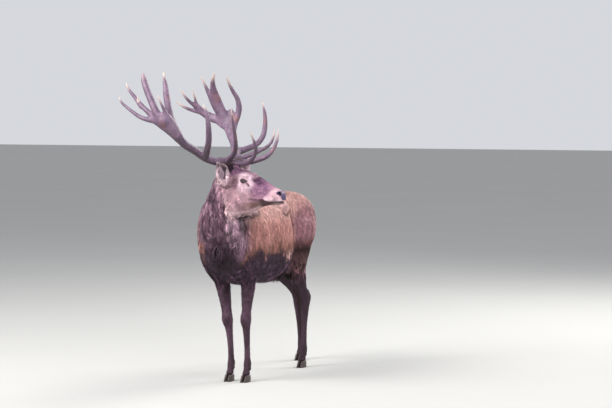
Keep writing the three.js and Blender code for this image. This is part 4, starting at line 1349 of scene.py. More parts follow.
def hair_material(name, contrast, bump, roughness, sheen, tufts):
    material, w, shader = principled(name, roughness, {
        "Sheen Weight": sheen, "Sheen Roughness": 0.5, "Specular IOR Level": 0.25})
    coat = w.node("ShaderNodeVertexColor", layer_name="Coat").outputs[0]
    kinds = w.node("ShaderNodeVertexColor", layer_name="Kind")
    kind = w.node("ShaderNodeSeparateColor", {"Color": kinds.outputs[0]})
    group = w.node("ShaderNodeGroup", node_tree=hair_streaks_group())
    w.tree.links.new(kind.outputs[0], group.inputs["Thigh"])
    w.tree.links.new(kind.outputs[2], group.inputs["Face"])
    dark = w.colour_mix(1.0, coat, (1 - contrast, 1 - contrast, 1 - contrast * 0.94, 1), "MULTIPLY")
    light = w.colour_mix(1.0, coat, (1 + contrast, 1 + contrast, 1 + contrast * 0.95, 1), "MULTIPLY")
    colour = w.colour_mix(group.outputs["Tone"], dark, light)
    if tufts:
        lock = w.layer("Lock")
        shade = w.spread(lock[0], 0.0, 1.0, 0.0, 5.0)
        # Painted shade inside the coat: the Lock layer's second channel darkens each tuft towards its root.
        tip = w.spread(lock[1], 0.0, 1.0, 0.55, 1.2)
        both = w.math("MULTIPLY", shade, tip)
        grey = w.node("ShaderNodeCombineColor", {"Red": both, "Green": both, "Blue": both}).outputs[0]
        colour = w.colour_mix(1.0, colour, grey, "MULTIPLY")
    w.tree.links.new(colour, shader.inputs["Base Color"])
    if bump:
        w.tree.links.new(w.spread(kinds.outputs[1], 0.0, 1.0, roughness, 0.34), shader.inputs["Roughness"])
        w.bump(shader, bump, 0.004, group.outputs["Height"])
    return material


def antler_material(bone):
    material, w, shader = principled("Antler bone", 0.5, {"Specular IOR Level": 0.4})
    tip, under, base = w.layer("Bone")
    place = w.place()
    patches = w.noise(place, 16.0, 4.0, 0.6)
    lines = w.noise(w.stretch(place, (1.0, 1.0, 0.25)), 150.0, 4.0, 0.65)
    rust = w.noise(place, 9.0, 3.0, 0.5)
    colour = w.colour_mix(w.spread(patches, 0.35, 0.65), (*bone.pale, 1), (*bone.mauve, 1))
    colour = w.colour_mix(w.spread(lines, 0.5, 0.72, 0.0, 0.55), colour, (*bone.groove, 1))
    colour = w.colour_mix(w.spread(rust, 0.58, 0.72, 0.0, 0.45), colour, (*bone.rust, 1))
    # Painted shade on undersides and low parts, from the Bone layer's second channel.
    colour = w.colour_mix(w.math("MULTIPLY", under, 0.9), colour, (*bone.shade, 1))
    colour = w.colour_mix(base, colour, (*bone.burr, 1))
    colour = w.colour_mix(tip, colour, (*bone.tip, 1))
    w.tree.links.new(colour, shader.inputs["Base Color"])
    w.tree.links.new(w.spread(lines, 0.3, 0.8, 0.38, 0.68), shader.inputs["Roughness"])
    grain = w.math("ADD", w.math("MULTIPLY", lines, 0.7), w.math("MULTIPLY", w.noise(place, 300.0), 0.3))
    w.bump(shader, 0.5, 0.0035, grain)
    return material


def hoof_material(horn):
    material, w, shader = principled("Hoof horn", 0.42, {"Specular IOR Level": 0.5})
    place = w.place()
    rings = w.noise(w.stretch(place, (0.15, 0.15, 1.0)), 330.0, 3.0, 0.5)
    chips = w.noise(place, 60.0, 4.0, 0.6)
    colour = w.colour_mix(w.spread(rings, 0.35, 0.7), (*horn.dark, 1), (*horn.light, 1))
    colour = w.colour_mix(w.spread(chips, 0.55, 0.75, 0.0, 0.5), colour, (*horn.mud, 1))
    w.tree.links.new(colour, shader.inputs["Base Color"])
    w.tree.links.new(w.spread(chips, 0.3, 0.7, 0.3, 0.6), shader.inputs["Roughness"])
    w.bump(shader, 0.4, 0.001, rings)
    return material


def eye_material(eyes):
    material, w, shader = principled("Eye", 0.06, {
        "Specular IOR Level": 0.15, "Coat Weight": 1.0, "Coat Roughness": 0.07})
    part = w.layer("Iris")
    fibres = w.noise(w.place(), 700.0, 3.0, 0.6)
    iris = w.colour_mix(w.spread(fibres, 0.35, 0.7), (*eyes.iris_dark, 1), (*eyes.iris, 1))
    colour = w.colour_mix(part[1], iris, (*eyes.white, 1))
    colour = w.colour_mix(part[0], colour, (0.004, 0.004, 0.008, 1))
    w.tree.links.new(colour, shader.inputs["Base Color"])
    return material


def whisker_material():
    material, w, shader = principled("Whiskers", 0.4)
    place = w.place()
    colour = w.colour_mix(w.noise(place, 90.0), (0.03, 0.02, 0.02, 1), (0.28, 0.2, 0.17, 1))
    w.tree.links.new(colour, shader.inputs["Base Color"])
    return material


# ------------------------------------------------------------------ settings

def tone(label, words, colour):
    return FloatVectorProperty(name=label, description=words, subtype="COLOR", size=3, min=0.0, max=1.0,
                               default=tuple(linear(colour)))


class StagCoatSettings(PropertyGroup):
    """Lengths and colours of the coat."""

    mane_length: FloatProperty(name="Mane length", description="Longest locks on the neck and chest",
                               default=0.072, min=0.02, max=0.12, unit="LENGTH")
    trunk_length: FloatProperty(name="Trunk length", description="Hair on the flanks and rump",
                                default=0.026, min=0.008, max=0.05, unit="LENGTH")
    leg_length: FloatProperty(name="Leg length", description="Hair on the legs",
                              default=0.015, min=0.005, max=0.03, unit="LENGTH")
    face_length: FloatProperty(name="Face length", description="Hair on the head",
                               default=0.009, min=0.003, max=0.02, unit="LENGTH")
    amount: FloatProperty(name="Amount", description="Share of the full number of tufts",
                          default=1.0, min=0.05, max=1.0)
    seed: IntProperty(name="Seed", description="Starting number of the coat's scatter", default=7, min=0)
    flank: tone("Flank", "Golden hair on the ribs", (173, 124, 117))
    flank_high: tone("High flank", "Hair high on the ribs", (200, 158, 152))
    flank_low: tone("Low flank", "Hair low on the ribs", (140, 98, 88))
    back: tone("Back", "Hair along the spine", (160, 122, 120))
    pale_hip: tone("Hip", "Pale hair in front of the hip", (212, 172, 170))
    thigh: tone("Thigh", "Mauve-grey hair on the thigh", (156, 114, 120))
    thigh_low: tone("Low thigh", "Hair low on the thigh", (104, 68, 70))
    gaskin: tone("Gaskin", "Brown hair above the hock", (88, 62, 62))
    # Dark hair across the lower thigh; the same tone also paints shade under the thigh, between the hind legs
    # and below the jaw.
    dark_hair_and_shade: tone("Thigh band", "Dark hair across the lower thigh", (33, 17, 17))
    # Painted shade in the creases of the flank, not a colour of the hair.
    crease: tone("Flank crease", "Dark hair between barrel and thigh", (96, 60, 52))
    stifle: tone("Stifle", "Tan hair in front of the stifle", (196, 156, 148))
    rump: tone("Rump", "Pale hair behind the hips", (166, 134, 134))
    rump_patch: tone("Rump patch", "Cream hair round the tail", (196, 166, 150))
    tail: tone("Tail", "Rusty hair on the tail", (186, 150, 130))
    belly: tone("Belly", "Dark fringe under the body", (62, 44, 58))
    leg: tone("Legs", "Hair on the legs", (76, 54, 68))
    leg_dark: tone("Dark legs", "Dark hair on the legs", (52, 35, 44))
    mane: tone("Mane", "Grey-brown hair on the neck", (126, 95, 111))
    # Dark locks in the mane; the same tone also paints shade under the pale throat.
    mane_dark: tone("Mane shade", "Dark locks in the mane", (60, 41, 54))
    mane_light: tone("Mane light", "Light locks in the mane", (168, 138, 152))
    # Dark wet hair low on the chest; the same tone also paints the jaw's shadow on the shoulder.
    chest: tone("Chest", "Dark wet hair low on the chest", (35, 22, 31))
    throat: tone("Throat", "Pale hair under the jaw", (236, 204, 208))
    cheek: tone("Cheek", "Hair on the cheek", (182, 146, 156))
    # Darker hair behind the eye; the same tone also paints shade in the crease above the upper lid.
    cheek_dark: tone("Cheek shade", "Darker hair behind the eye", (120, 86, 98))
    jaw: tone("Jaw", "Hair under the jaw", (130, 100, 94))
    muzzle: tone("Muzzle", "Hair on the side of the muzzle", (162, 120, 142))
    forehead: tone("Forehead", "Hair between the antlers", (146, 106, 134))
    bridge: tone("Bridge", "Dark hair on the nose bridge", (118, 82, 112))
    bridge_dark: tone("Dark bridge", "Darkest hair in front of the eye", (68, 38, 66))
    eye_ring: tone("Eye ring", "Pale hair round the eye", (230, 198, 210))
    lip: tone("Lip", "Pale hair on the muzzle", (206, 168, 178))
    lip_light: tone("Lip edge", "Palest hair along the upper lip", (226, 192, 202))
    # Hair on the chin; the same tone also paints shade along the lower edge of the cheek.
    chin: tone("Chin", "Hair on the chin", (62, 44, 44))
    chin_light: tone("Chin edge", "Paler hair below the lower lip", (150, 128, 132))
    nose: tone("Nose", "Bare nose", (94, 78, 110))
    # Bare dark skin; the same tone also paints shade between ear, antler and forehead and below the ear.
    lids: tone("Lids", "Bare lids, nostrils and lips", (30, 20, 30))
    ear: tone("Ear", "Back of the ear", (206, 178, 186))
    ear_inside: tone("Ear hollow", "Inside of the ear", (196, 172, 184))
    # Painted shade inside the ear's hollow.
    ear_hollow_shade: tone("Ear depth", "Depth of the ear", (52, 38, 48))
    ear_rim: tone("Ear rim", "Pale rim of the ear", (214, 190, 198))


class StagAntlerSettings(PropertyGroup):
    """Finish of the antlers."""

    grain: FloatProperty(name="Mesh step", description="Size of the antler mesh", default=0.0036,
                         min=0.002, max=0.01, unit="LENGTH", precision=4)
    pale: tone("Bone", "Pale bone", (120, 97, 118))
    mauve: tone("Mauve bone", "Mauve bone", (90, 71, 92))
    groove: tone("Grooves", "Dark lines along the bone", (84, 62, 76))
    rust: tone("Rust", "Orange-brown stain", (150, 98, 84))
    # Painted shade for the antlers' undersides.
    shade: tone("Underside", "Dark underside", (62, 46, 58))
    burr: tone("Burr", "Dark burr at the root", (58, 40, 42))
    tip: tone("Tips", "Polished ivory tips", (188, 168, 160))


class StagHornSettings(PropertyGroup):
    """Finish of the hooves."""

    dark: tone("Horn", "Dark horn", (40, 32, 34))
    light: tone("Light horn", "Light growth rings", (78, 64, 62))
    mud: tone("Mud", "Dry mud", (110, 92, 80))


class StagEyeSettings(PropertyGroup):
    """Finish of the eyes."""

    iris: tone("Iris", "Brown of the eye", (72, 44, 46))
    iris_dark: tone("Dark iris", "Dark brown of the eye", (32, 19, 24))
    white: tone("Corner", "Brown white in the corners", (62, 44, 46))


# ------------------------------------------------------------------ pieces

FLESH_NODES = ["trunk", "neck", "head", "tail", "ear_left", "ear_right", "fore_leg_left",
               "fore_leg_right", "hind_leg_left", "hind_leg_right"]
SCULPT = {}


def flesh_solid():
    """The one solid that skin and coat share, worked out once."""
    if "flesh" not in SCULPT:
        warp = Warp(from_head([(215, 0, -130)])[0], 0.28, 250, 240)
        SCULPT["flesh"] = Solid(flesh_field, np.array([-250.0, -880, 40]), np.array([510.0, 850, 1550]),
                                16.0, warp)
    return SCULPT["flesh"]


def skin_surface():
    if "skin" not in SCULPT:
        solid = flesh_solid()
        points, quads = solid.surface()
        SCULPT["skin"] = largest_part(points, quads)
    return SCULPT["skin"]


def fine_places(points):
    """Where the skin needs a finer mesh: eyes, mouth, nose, ears and lower legs."""
    local = to_head(points)
    f, s, u = local[:, 0], np.abs(local[:, 1]), local[:, 2]
    eye = (np.hypot(f - 190, u + 86) < 38) & (s > 45)
    muzzle = (f > 404) | ((f > 310) & (np.abs(u + 213) < 12)) & (s < 70)
    ear = (s > 100) & (u > -90) & (points[:, 2] > 1340)
    return eye | (muzzle & (np.abs(s) < 80) & (u > -260)) | ear | (points[:, 2] < 520)


class STAG_OT_skin(Operator):
    """Sculpt the one skin over the flesh"""

    bl_idname = "stag.skin"
    bl_label = "Skin"

    def execute(self, context):
        points, quads = skin_surface()
        points, groups = refine(points, quads, fine_places, flesh_field)
        count = sum(len(faces) * (faces.shape[1] - 2) for faces in groups)
        if count >= 200000:
            raise RuntimeError(f"the skin has {count} triangles")
        mesh = build_mesh("skin", to_metres(points), *groups)
        colour, kind = markings(points, context.scene.stag_coat)
        paint(mesh, "Coat", colour)
        paint(mesh, "Kind", kind)
        material = hair_material("Skin hair", 0.42, 0.9, 0.75, 0.0, False)
        add_piece(mesh, material, "body_coat", FLESH_NODES)
        return {"FINISHED"}


class STAG_OT_coat(Operator):
    """Lay the tufts of the coat over the skin"""

    bl_idname = "stag.coat"
    bl_label = "Coat"

    def execute(self, context):
        coat = context.scene.stag_coat
        solid = flesh_solid()
        points, quads = skin_surface()
        corners = points[quads]
        middles = corners.mean(axis=1)
        normals = np.cross(corners[:, 2] - corners[:, 0], corners[:, 3] - corners[:, 1])
        areas = np.linalg.norm(normals, axis=1) / 2
        normals = normals / np.maximum(2 * areas, 1e-9)[:, None]
        _, kind = markings(middles, coat)
        material = hair_material("Coat hair", 0.30, 0.0, 0.6, 0.0, True)
        for index, region in enumerate(regions(coat)):
            rng = np.random.default_rng(coat.seed + index)
            chart, sizes = region.chart
            length, dense = sizes(middles, kind)
            weight = areas * dense * region.where(middles, kind)
            total = np.cumsum(weight)
            picks = (np.arange(region.count) + rng.random(region.count)) / region.count * total[-1]
            cells = np.clip(np.searchsorted(total, picks), 0, len(weight) - 1)
            a, b = rng.random((2, region.count, 1))
            q = corners[cells]
            roots = (q[:, 0] * (1 - a) + q[:, 1] * a) * (1 - b) + (q[:, 3] * (1 - a) + q[:, 2] * a) * b
            long = region.length * length[cells] * rng.uniform(0.65, 1.2, region.count)
            wide = region.width * rng.uniform(0.6, 1.3, region.count) * np.sqrt(length[cells])
            lie = lie_of(roots, kind[cells])
            lock, gap = locks(roots, region.gather[0], rng)
            mesh = tuft_mesh(region.name, solid, roots, normals[cells], lie, long, wide, gap, region,
                             rng, chart)
            colour, kinds = markings(roots, coat)
            paint(mesh, "Coat", np.repeat(colour, 10, axis=0))
            paint(mesh, "Kind", np.repeat(kinds, 10, axis=0))
            clump = value_noise(roots * [1, 1, 0.4], 16.0, 21)
            own = rng.normal(0, 0.17 + 0.22 * region.gather[1], region.count)
            own += rng.normal(0, 0.7 * region.gather[1], lock.max() + 1)[lock]
            own += region.pale * (rng.random(lock.max() + 1) < 0.12)[lock]
            shade = np.clip(0.2 * np.exp(0.8 * (clump - 0.5) + own), 0, 1)
            # Each tuft darker towards its root: painted shade inside the coat.
            root = 0.65 - 1.4 * region.gather[1]
            tips = np.tile(np.interp([0, 0, 0, 0.34, 0.34, 0.34, 0.7, 0.7, 0.7, 1], [0, 1], [max(root, 0), 0.9]),
                           region.count)
            paint(mesh, "Lock", np.stack([np.repeat(shade, 10), tips], -1))
            slot = {"head": "face_coat", "neck": "mane_coat", "legs": "leg_coat"}
            add_piece(mesh, material, slot.get(region.name.split("_")[1], "body_coat"))
        return {"FINISHED"}


def antler_tables(branches):
    tables = {}
    for name, rows in branches.items():
        full = [(x, y, z, rest[1] if len(rest) > 1 else rest[0], rest[0]) for x, y, z, *rest in rows]
        tables[name] = smooth_rows(full, 4)
    return tables


PALM_ACROSS = np.array([0.9, 0.1, 0.3]) / np.linalg.norm([0.9, 0.1, 0.3])


def antler_field(tables, side):
    """One antler: its beam, its points, the web between them, and the burr."""
    def field(points):
        d = np.full(len(points), 1e3)
        for name, table in tables.items():
            low, high = box_of(table, [3, 4])
            part = near_only(points, low, high, 30,
                             lambda p, t=table: limb_field(p, t, PALM_ACROSS)[0])
            d = blend_in(d, part, 24 if name.startswith("crown") else 15)
        at = np.array(BURR["at"], float) * [1, side, 1]
        v = points - at
        out = np.hypot(v[:, 0], v[:, 1])
        turn = np.arctan2(v[:, 1], v[:, 0])
        lumps = 2.2 * np.sin(5 * turn) + 1.4 * np.sin(11 * turn)
        ring = np.hypot(out - BURR["radius"] - 0.4 * lumps, v[:, 2]) - BURR["ring"] - 0.6 * lumps
        d = blend_in(d, ring, 6)
        near = np.exp(-np.linalg.norm(v, axis=1) / 230)
        rough = value_noise(points, 9.0, 31) - 0.5
        flute = value_noise(points * [1, 1, 0.5], 13.0, 33) - 0.5
        solid = ramp(-np.linalg.norm(v * [0.6, 1, 1], axis=1), -520, -250)
        d = d - 4.2 * rough * near - (0.5 + 1.6 * solid) * flute
        return np.maximum(d, 22.4 - points[:, 2])
    return field


def tip_share(points, tables):
    """1 at the ends of the points, 0 along the beam."""
    share = np.zeros(len(points))
    for name, table in tables.items():
        if name == "beam":
            continue
        low, high = box_of(table, [3, 4])
        near = (np.maximum(np.maximum(low - points, points - high), 0).max(axis=1) < 4)
        if not near.any():
            continue
        d, along = limb_field(points[near], table, PALM_ACROSS)
        size = np.linalg.norm(np.diff(table[:, :3], axis=0), axis=1).sum()
        left_over = (1 - along) * size
        blunt = 0.35 if name == "crown_top" else 1.0
        share[near] = np.maximum(share[near], blunt * ramp(-left_over, -105, -14) * (d < 4))
    return share


class STAG_OT_antlers(Operator):
    """Sculpt both antlers with their burrs, webs and grooves"""

    bl_idname = "stag.antlers"
    bl_label = "Antlers"

    def execute(self, context):
        bone = context.scene.stag_antlers
        material = antler_material(bone)
        for side_name, side, branches in (("left", 1, ANTLER_LEFT), ("right", -1, ANTLER_RIGHT)):
            tables = antler_tables(branches)
            boxes = [box_of(t, [3, 4]) for t in tables.values()]
            low = np.min([b[0] for b in boxes], axis=0) - 12
            high = np.max([b[1] for b in boxes], axis=0) + 6
            solid = Solid(antler_field(tables, side), low, high, bone.grain * 1000, Even())
            points, quads = largest_part(*solid.surface(1))
            mesh = build_mesh(f"antler_{side_name}", to_metres(from_head(points)), quads)
            _, grad = solid.slope(points, 2.0)
            up = grad[:, 2] / np.maximum(np.linalg.norm(grad, axis=1), 1e-6)
            burr = np.array(BURR["at"], float) * [1, side, 1]
            root = ramp(-np.linalg.norm(points - burr, axis=1), -70, -34)
            # Painted shade: darker where the surface faces down, and more so low on the antler.
            under = ramp(-up, -0.2, 0.7) * (0.45 + 0.55 * ramp(-points[:, 2], -260, -100))
            paint(mesh, "Bone", np.stack([tip_share(points, tables), under, 0.85 * root], -1))
            nodes = [f"antler_{side_name}_{name}" for name in branches]
            add_piece(mesh, material, "antler_bone", nodes)
            pearls(mesh, side_name, material, burr)
        return {"FINISHED"}


def pearls(mesh, side_name, material, burr):
    """Small round pearls scattered over the root of an antler."""
    carrier = bpy.data.objects.new(f"pearl_ground_{side_name}", mesh.copy())
    bpy.context.scene.collection.objects.link(carrier)
    place = to_metres(from_head([burr]))[0]
    co = np.zeros(len(mesh.vertices) * 3, np.float32)
    carrier.data.vertices.foreach_get("co", co)
    near = np.linalg.norm(co.reshape(-1, 3) - place, axis=1)
    layer = carrier.data.attributes.new("Pearled", "FLOAT", "POINT")
    layer.data.foreach_set("value", (ramp(-near, -0.26, -0.05)).astype(np.float32))
    shape = grown(carrier, pearl_tree(),
                  {"Radius": 0.0026, "Most per area": 16000.0, "Seed": 5, "Finish": material})
    shape.name = f"antler_pearls_{side_name}"
    # The pearls' colour: a little of the tips' ivory, a little painted underside shade, and some of the burr's
    # dark.
    paint(shape, "Bone", np.tile([0.05, 0.1, 0.35], (len(shape.vertices), 1)))
    add_piece(shape, material, "antler_bone")


def pearl_tree():
    """Instances of a small ball over the faces, thickest where the ground is marked."""
    known = bpy.data.node_groups.get("Antler pearls")
    if known:
        return known
    tree, w, asked, given = new_group("Antler pearls", "GeometryNodeTree", {
        "Geometry": "Geometry", "Radius": "Float", "Most per area": "Float", "Seed": "Int",
        "Finish": "Material"}, {"Geometry": "Geometry"})
    mark = w.node("GeometryNodeInputNamedAttribute", {"Name": "Pearled"}, data_type="FLOAT")
    dense = w.math("MULTIPLY", mark.outputs["Attribute"], asked["Most per area"])
    scatter = w.node("GeometryNodeDistributePointsOnFaces", {
        "Mesh": asked["Geometry"], "Density": dense, "Seed": asked["Seed"]})
    ball = w.node("GeometryNodeMeshIcoSphere", {"Radius": asked["Radius"], "Subdivisions": 1})
    size = w.node("FunctionNodeRandomValue", {"Seed": asked["Seed"]}, data_type="FLOAT")
    size.inputs[2].default_value = 0.55
    size.inputs[3].default_value = 1.25
    place = w.node("GeometryNodeInstanceOnPoints", {
        "Points": scatter.outputs["Points"], "Instance": ball.outputs["Mesh"],
        "Rotation": scatter.outputs["Rotation"], "Scale": size.outputs[1]})
    coat = made_real(w, place, asked["Finish"])
    smooth = w.node("GeometryNodeSetShadeSmooth", {"Geometry": coat})
    tree.links.new(smooth.outputs[0], given[0])
    return tree


def made_real(w, instances, finish):
    """Instances turned into mesh, with a material."""
    real = w.node("GeometryNodeRealizeInstances", {"Geometry": instances.outputs[0]})
    return w.node("GeometryNodeSetMaterial", {"Geometry": real.outputs[0], "Material": finish}).outputs[0]


def grown(carrier, tree, values):
    """The mesh that a node tree makes of its carrier, which is then removed."""
    modifier = carrier.modifiers.new(tree.name, "NODES")
    modifier.node_group = tree
    for item in tree.interface.items_tree:
        if item.item_type == "SOCKET" and item.in_out == "INPUT" and item.name in values:
            modifier[item.identifier] = values[item.name]
    shape = bpy.data.meshes.new_from_object(
        carrier.evaluated_get(bpy.context.evaluated_depsgraph_get()))
    bpy.data.objects.remove(carrier)
    return shape


def ringed_faces(rings, sides):
    """Triangles over stacked rings of points, closed by a point at each end that follows them."""
    faces = []
    for r in range(rings - 1):
        for s in range(sides):
            a, b = r * sides + s, r * sides + (s + 1) % sides
            faces += [(a, b, b + sides), (a, b + sides, a + sides)]
    first, end, last = rings * sides, rings * sides + 1, (rings - 1) * sides
    for s in range(sides):
        n = (s + 1) % sides
        faces += [(first, n, s), (end, last + s, last + n)]
    return np.array(faces)


class STAG_OT_eyes(Operator):
    """Set both eyes, with iris, level pupil and cornea"""

    bl_idname = "stag.eyes"
    bl_label = "Eyes"

    def execute(self, context):
        material = eye_material(context.scene.stag_eyes)
        rings, sides = 40, 64
        for side_name, side in (("left", 1), ("right", -1)):
            points = []
            for r in range(1, rings):
                polar = math.pi * r / rings
                turn = np.arange(sides) * 2 * math.pi / sides
                points.append(np.stack([math.sin(polar) * np.cos(turn), math.cos(polar) + 0 * turn,
                                        math.sin(polar) * np.sin(turn)], -1))
            unit = np.vstack(points + [[(0, 1, 0)], [(0, -1, 0)]])
            faces = ringed_faces(rings - 1, sides)
            bulge = 0.05 * ramp(unit[:, 1], 0.70, 0.98)
            shape = unit * (EYE_RADIUS * (0.985 + bulge))[:, None]
            iris = ramp(unit[:, 1], 0.74, 0.80)
            pupil = ramp(-np.hypot(unit[:, 0] / 0.38, unit[:, 2] / 0.2), -1.08, -0.92) * (unit[:, 1] > 0)
            if side > 0:
                faces = faces[:, ::-1]
            local = shape * [1, side, 1] + np.array(EYE_SEAT) * [1, side, 1]
            mesh = build_mesh(f"eyeball_{side_name}", to_metres(from_head(local)), faces)
            outward(mesh)
            paint(mesh, "Iris", np.stack([pupil, 1 - iris, 0 * iris], -1))
            add_piece(mesh, material, "eye", [f"eye_{side_name}"])
        return {"FINISHED"}


def outward(mesh):
    """Turn a closed mesh's faces out, if its volume says that they look in."""
    co = np.zeros(len(mesh.vertices) * 3)
    mesh.vertices.foreach_get("co", co)
    co = co.reshape(-1, 3)
    mesh.calc_loop_triangles()
    tri = np.zeros(len(mesh.loop_triangles) * 3, int)
    mesh.loop_triangles.foreach_get("vertices", tri)
    a, b, c = co[tri.reshape(-1, 3)].transpose(1, 0, 2)
    if (a * np.cross(b, c)).sum() < 0:
        mesh.flip_normals()


def claw_rings(foot, side):
    """Rings of one claw from the coronet to the sole, with a growth ridge on every other one."""
    rings = []
    sides = 36
    turn = np.arange(sides) * 2 * math.pi / sides
    height = CLAW["height"]
    levels = list(np.linspace(0, 0.86, 19)) + [0.93, 0.97, 1.0]
    for k, share in enumerate(levels):
        grow = min(share / 0.9, 1.0)
        toe = CLAW_TOP["toe"] + (CLAW["toe"] - CLAW_TOP["toe"]) * grow
        heel = CLAW_TOP["heel"] + (CLAW["heel"] - CLAW_TOP["heel"]) * grow
        half = CLAW_TOP["half"] + (CLAW["half"] - CLAW_TOP["half"]) * min(grow * 1.6, 1)
        ridge = 0.35 * (k % 2) * (share < 0.9)
        shrink = (2.0 if share == 1.0 else 0.9 if share == 0.97 else 0.0) + 0.8 * (share == 0) + ridge
        centre_x = foot[0] + side * CLAW["apart"]
        centre_y = foot[1] - (toe - heel) / 2
        deep = (toe + heel) / 2 - shrink
        c, s = np.cos(turn), np.sin(turn)
        px = np.sign(c) * np.abs(c) ** (2 / 2.3) * (half - shrink)
        py = -np.sign(s) * np.abs(s) ** (2 / 2.3) * deep
        ahead = np.maximum(-py, 0) / deep
        px = px * (1 - 0.45 * ahead ** 2) - side * 3 * ahead ** 2
        z = np.full(sides, height * (1 - share))
        rings.append(np.stack([centre_x + px, centre_y + py, z], -1))
    return rings


class STAG_OT_hooves(Operator):
    """Build the eight claws with their growth rings"""

    bl_idname = "stag.hooves"
    bl_label = "Hooves"

    def execute(self, context):
        material = hoof_material(context.scene.stag_horn)
        for leg, rows in LEGS.items():
            end, side_name = leg.split("_")
            for letter, side in (("a", 1), ("b", -1)):
                rings = claw_rings(rows[-1], side)
                sides = len(rings[0])
                points = np.vstack(rings + [[rings[0].mean(0)], [rings[-1].mean(0)]])
                faces = ringed_faces(len(rings), sides)
                mesh = build_mesh(f"hoof_{leg}_{letter}", to_metres(points), faces)
                outward(mesh)
                add_piece(mesh, material, "hoof_horn", [f"{end}_claw_{side_name}_{letter}"])
        return {"FINISHED"}


class STAG_OT_whiskers(Operator):
    """Add the whiskers of the muzzle and the upper lashes"""

    bl_idname = "stag.whiskers"
    bl_label = "Whiskers"

    def execute(self, context):
        rng = np.random.default_rng(11)
        solid = flesh_solid()
        points, _ = skin_surface()
        local = to_head(points)
        lips = (local[:, 0] > 380) & (local[:, 0] < 436) & (local[:, 2] < -176) & (np.abs(local[:, 1]) > 12)
        seeds = points[rng.choice(np.flatnonzero(lips), 90, replace=False)]
        _, out = solid.slope(seeds, 3.0)
        out /= np.linalg.norm(out, axis=1)[:, None]
        back = np.array([-0.5, 0, -0.35]) @ HEAD_AXES
        ways = out + back + rng.normal(0, 0.15, out.shape)
        long = rng.uniform(14, 30, len(seeds))
        lash_roots, lash_ways = [], []
        for side in (1, -1):
            for x in np.linspace(-17, 19, 26):
                top = float(lid_lines(np.array([x]))[0][0]) + 1.0
                tilt = LID["tilt"]
                f = EYE_SEAT[0] - 4 + x * math.cos(tilt) - top * math.sin(tilt)
                u = EYE_SEAT[2] + top * math.cos(tilt) + x * math.sin(tilt)
                lash_roots.append(from_head([(f, side * (EYE_SEAT[1] + 19.5), u)])[0])
                lash_ways.append(np.array([0.12 + x / 60, side * 1.0, -0.25]) @ HEAD_AXES)
        seeds = np.vstack([seeds, lash_roots])
        ways = np.vstack([ways, lash_ways])
        long = np.concatenate([long, rng.uniform(9, 14, len(lash_roots))])
        ground = bpy.data.meshes.new("whisker_roots")
        ground.from_pydata([tuple(p) for p in to_metres(seeds)], [], [])
        for name, kind, values in (("Way", "FLOAT_VECTOR", ways), ("Long", "FLOAT", long / 1000)):
            layer = ground.attributes.new(name, kind, "POINT")
            key = "vector" if kind == "FLOAT_VECTOR" else "value"
            layer.data.foreach_set(key, np.ascontiguousarray(values, np.float32).ravel())
        carrier = placed("whisker_ground", ground)
        material = whisker_material()
        shape = grown(carrier, whisker_tree(), {"Thickness": 0.0007, "Finish": material})
        shape.name = "whiskers"
        if not len(shape.polygons):
            raise RuntimeError("the whiskers came out empty")
        add_piece(shape, material, "face_coat")
        return {"FINISHED"}


def whisker_tree():
    """A thin cone at every root, turned to its own way and as long as it says."""
    tree, w, asked, given = new_group("Whisker bristles", "GeometryNodeTree", {
        "Geometry": "Geometry", "Thickness": "Float", "Finish": "Material"}, {"Geometry": "Geometry"})
    way = w.node("GeometryNodeInputNamedAttribute", {"Name": "Way"}, data_type="FLOAT_VECTOR")
    long = w.node("GeometryNodeInputNamedAttribute", {"Name": "Long"}, data_type="FLOAT")
    turn = w.node("FunctionNodeAlignRotationToVector", {"Vector": way.outputs["Attribute"]}, axis="Z")
    cone = w.node("GeometryNodeMeshCone", {"Vertices": 5, "Radius Bottom": asked["Thickness"],
                                           "Radius Top": 0.0, "Depth": 1.0, "Side Segments": 3})
    size = w.node("ShaderNodeCombineXYZ", {"X": 1.0, "Y": 1.0, "Z": long.outputs["Attribute"]})
    place = w.node("GeometryNodeInstanceOnPoints", {
        "Points": asked["Geometry"], "Instance": cone.outputs["Mesh"],
        "Rotation": turn.outputs[0], "Scale": size.outputs[0]})
    tree.links.new(made_real(w, place, asked["Finish"]), given[0])
    return tree


# ------------------------------------------------------------------ stage

class StagStageSettings(PropertyGroup):
    """Camera, lights and floor."""

    lens: FloatProperty(name="Lens", description="Focal length of the camera", default=126.2,
                        min=20, max=300, unit="CAMERA")
    turn: FloatProperty(name="Turn", description="Angle of the view from the stag's front",
                        default=math.radians(24.0), subtype="ANGLE")
    distance: FloatProperty(name="Distance", description="How far off the camera stands", default=15.0,
                            min=3, max=60, unit="LENGTH")
    height: FloatProperty(name="Height", description="How high the camera stands", default=1.95,
                          min=0, max=10, unit="LENGTH")
    aim_right: FloatProperty(name="Aim right", description="Turn of the camera to its right",
                             default=math.atan((306.0 - 264.0) / 2145.0), subtype="ANGLE")
    aim_down: FloatProperty(name="Aim down", description="Tilt of the camera down",
                            default=math.atan((204.0 - 95.0) / 2145.0), subtype="ANGLE")
    key: FloatProperty(name="Key", description="Power of the large light", default=1050.0, min=0)
    sky: FloatProperty(name="Sky", description="Strength of the light from all round", default=0.72, min=0)


def aim(obj, place, target):
    obj.location = place
    obj.rotation_euler = (Vector(target) - Vector(place)).to_track_quat("-Z", "Y").to_euler()


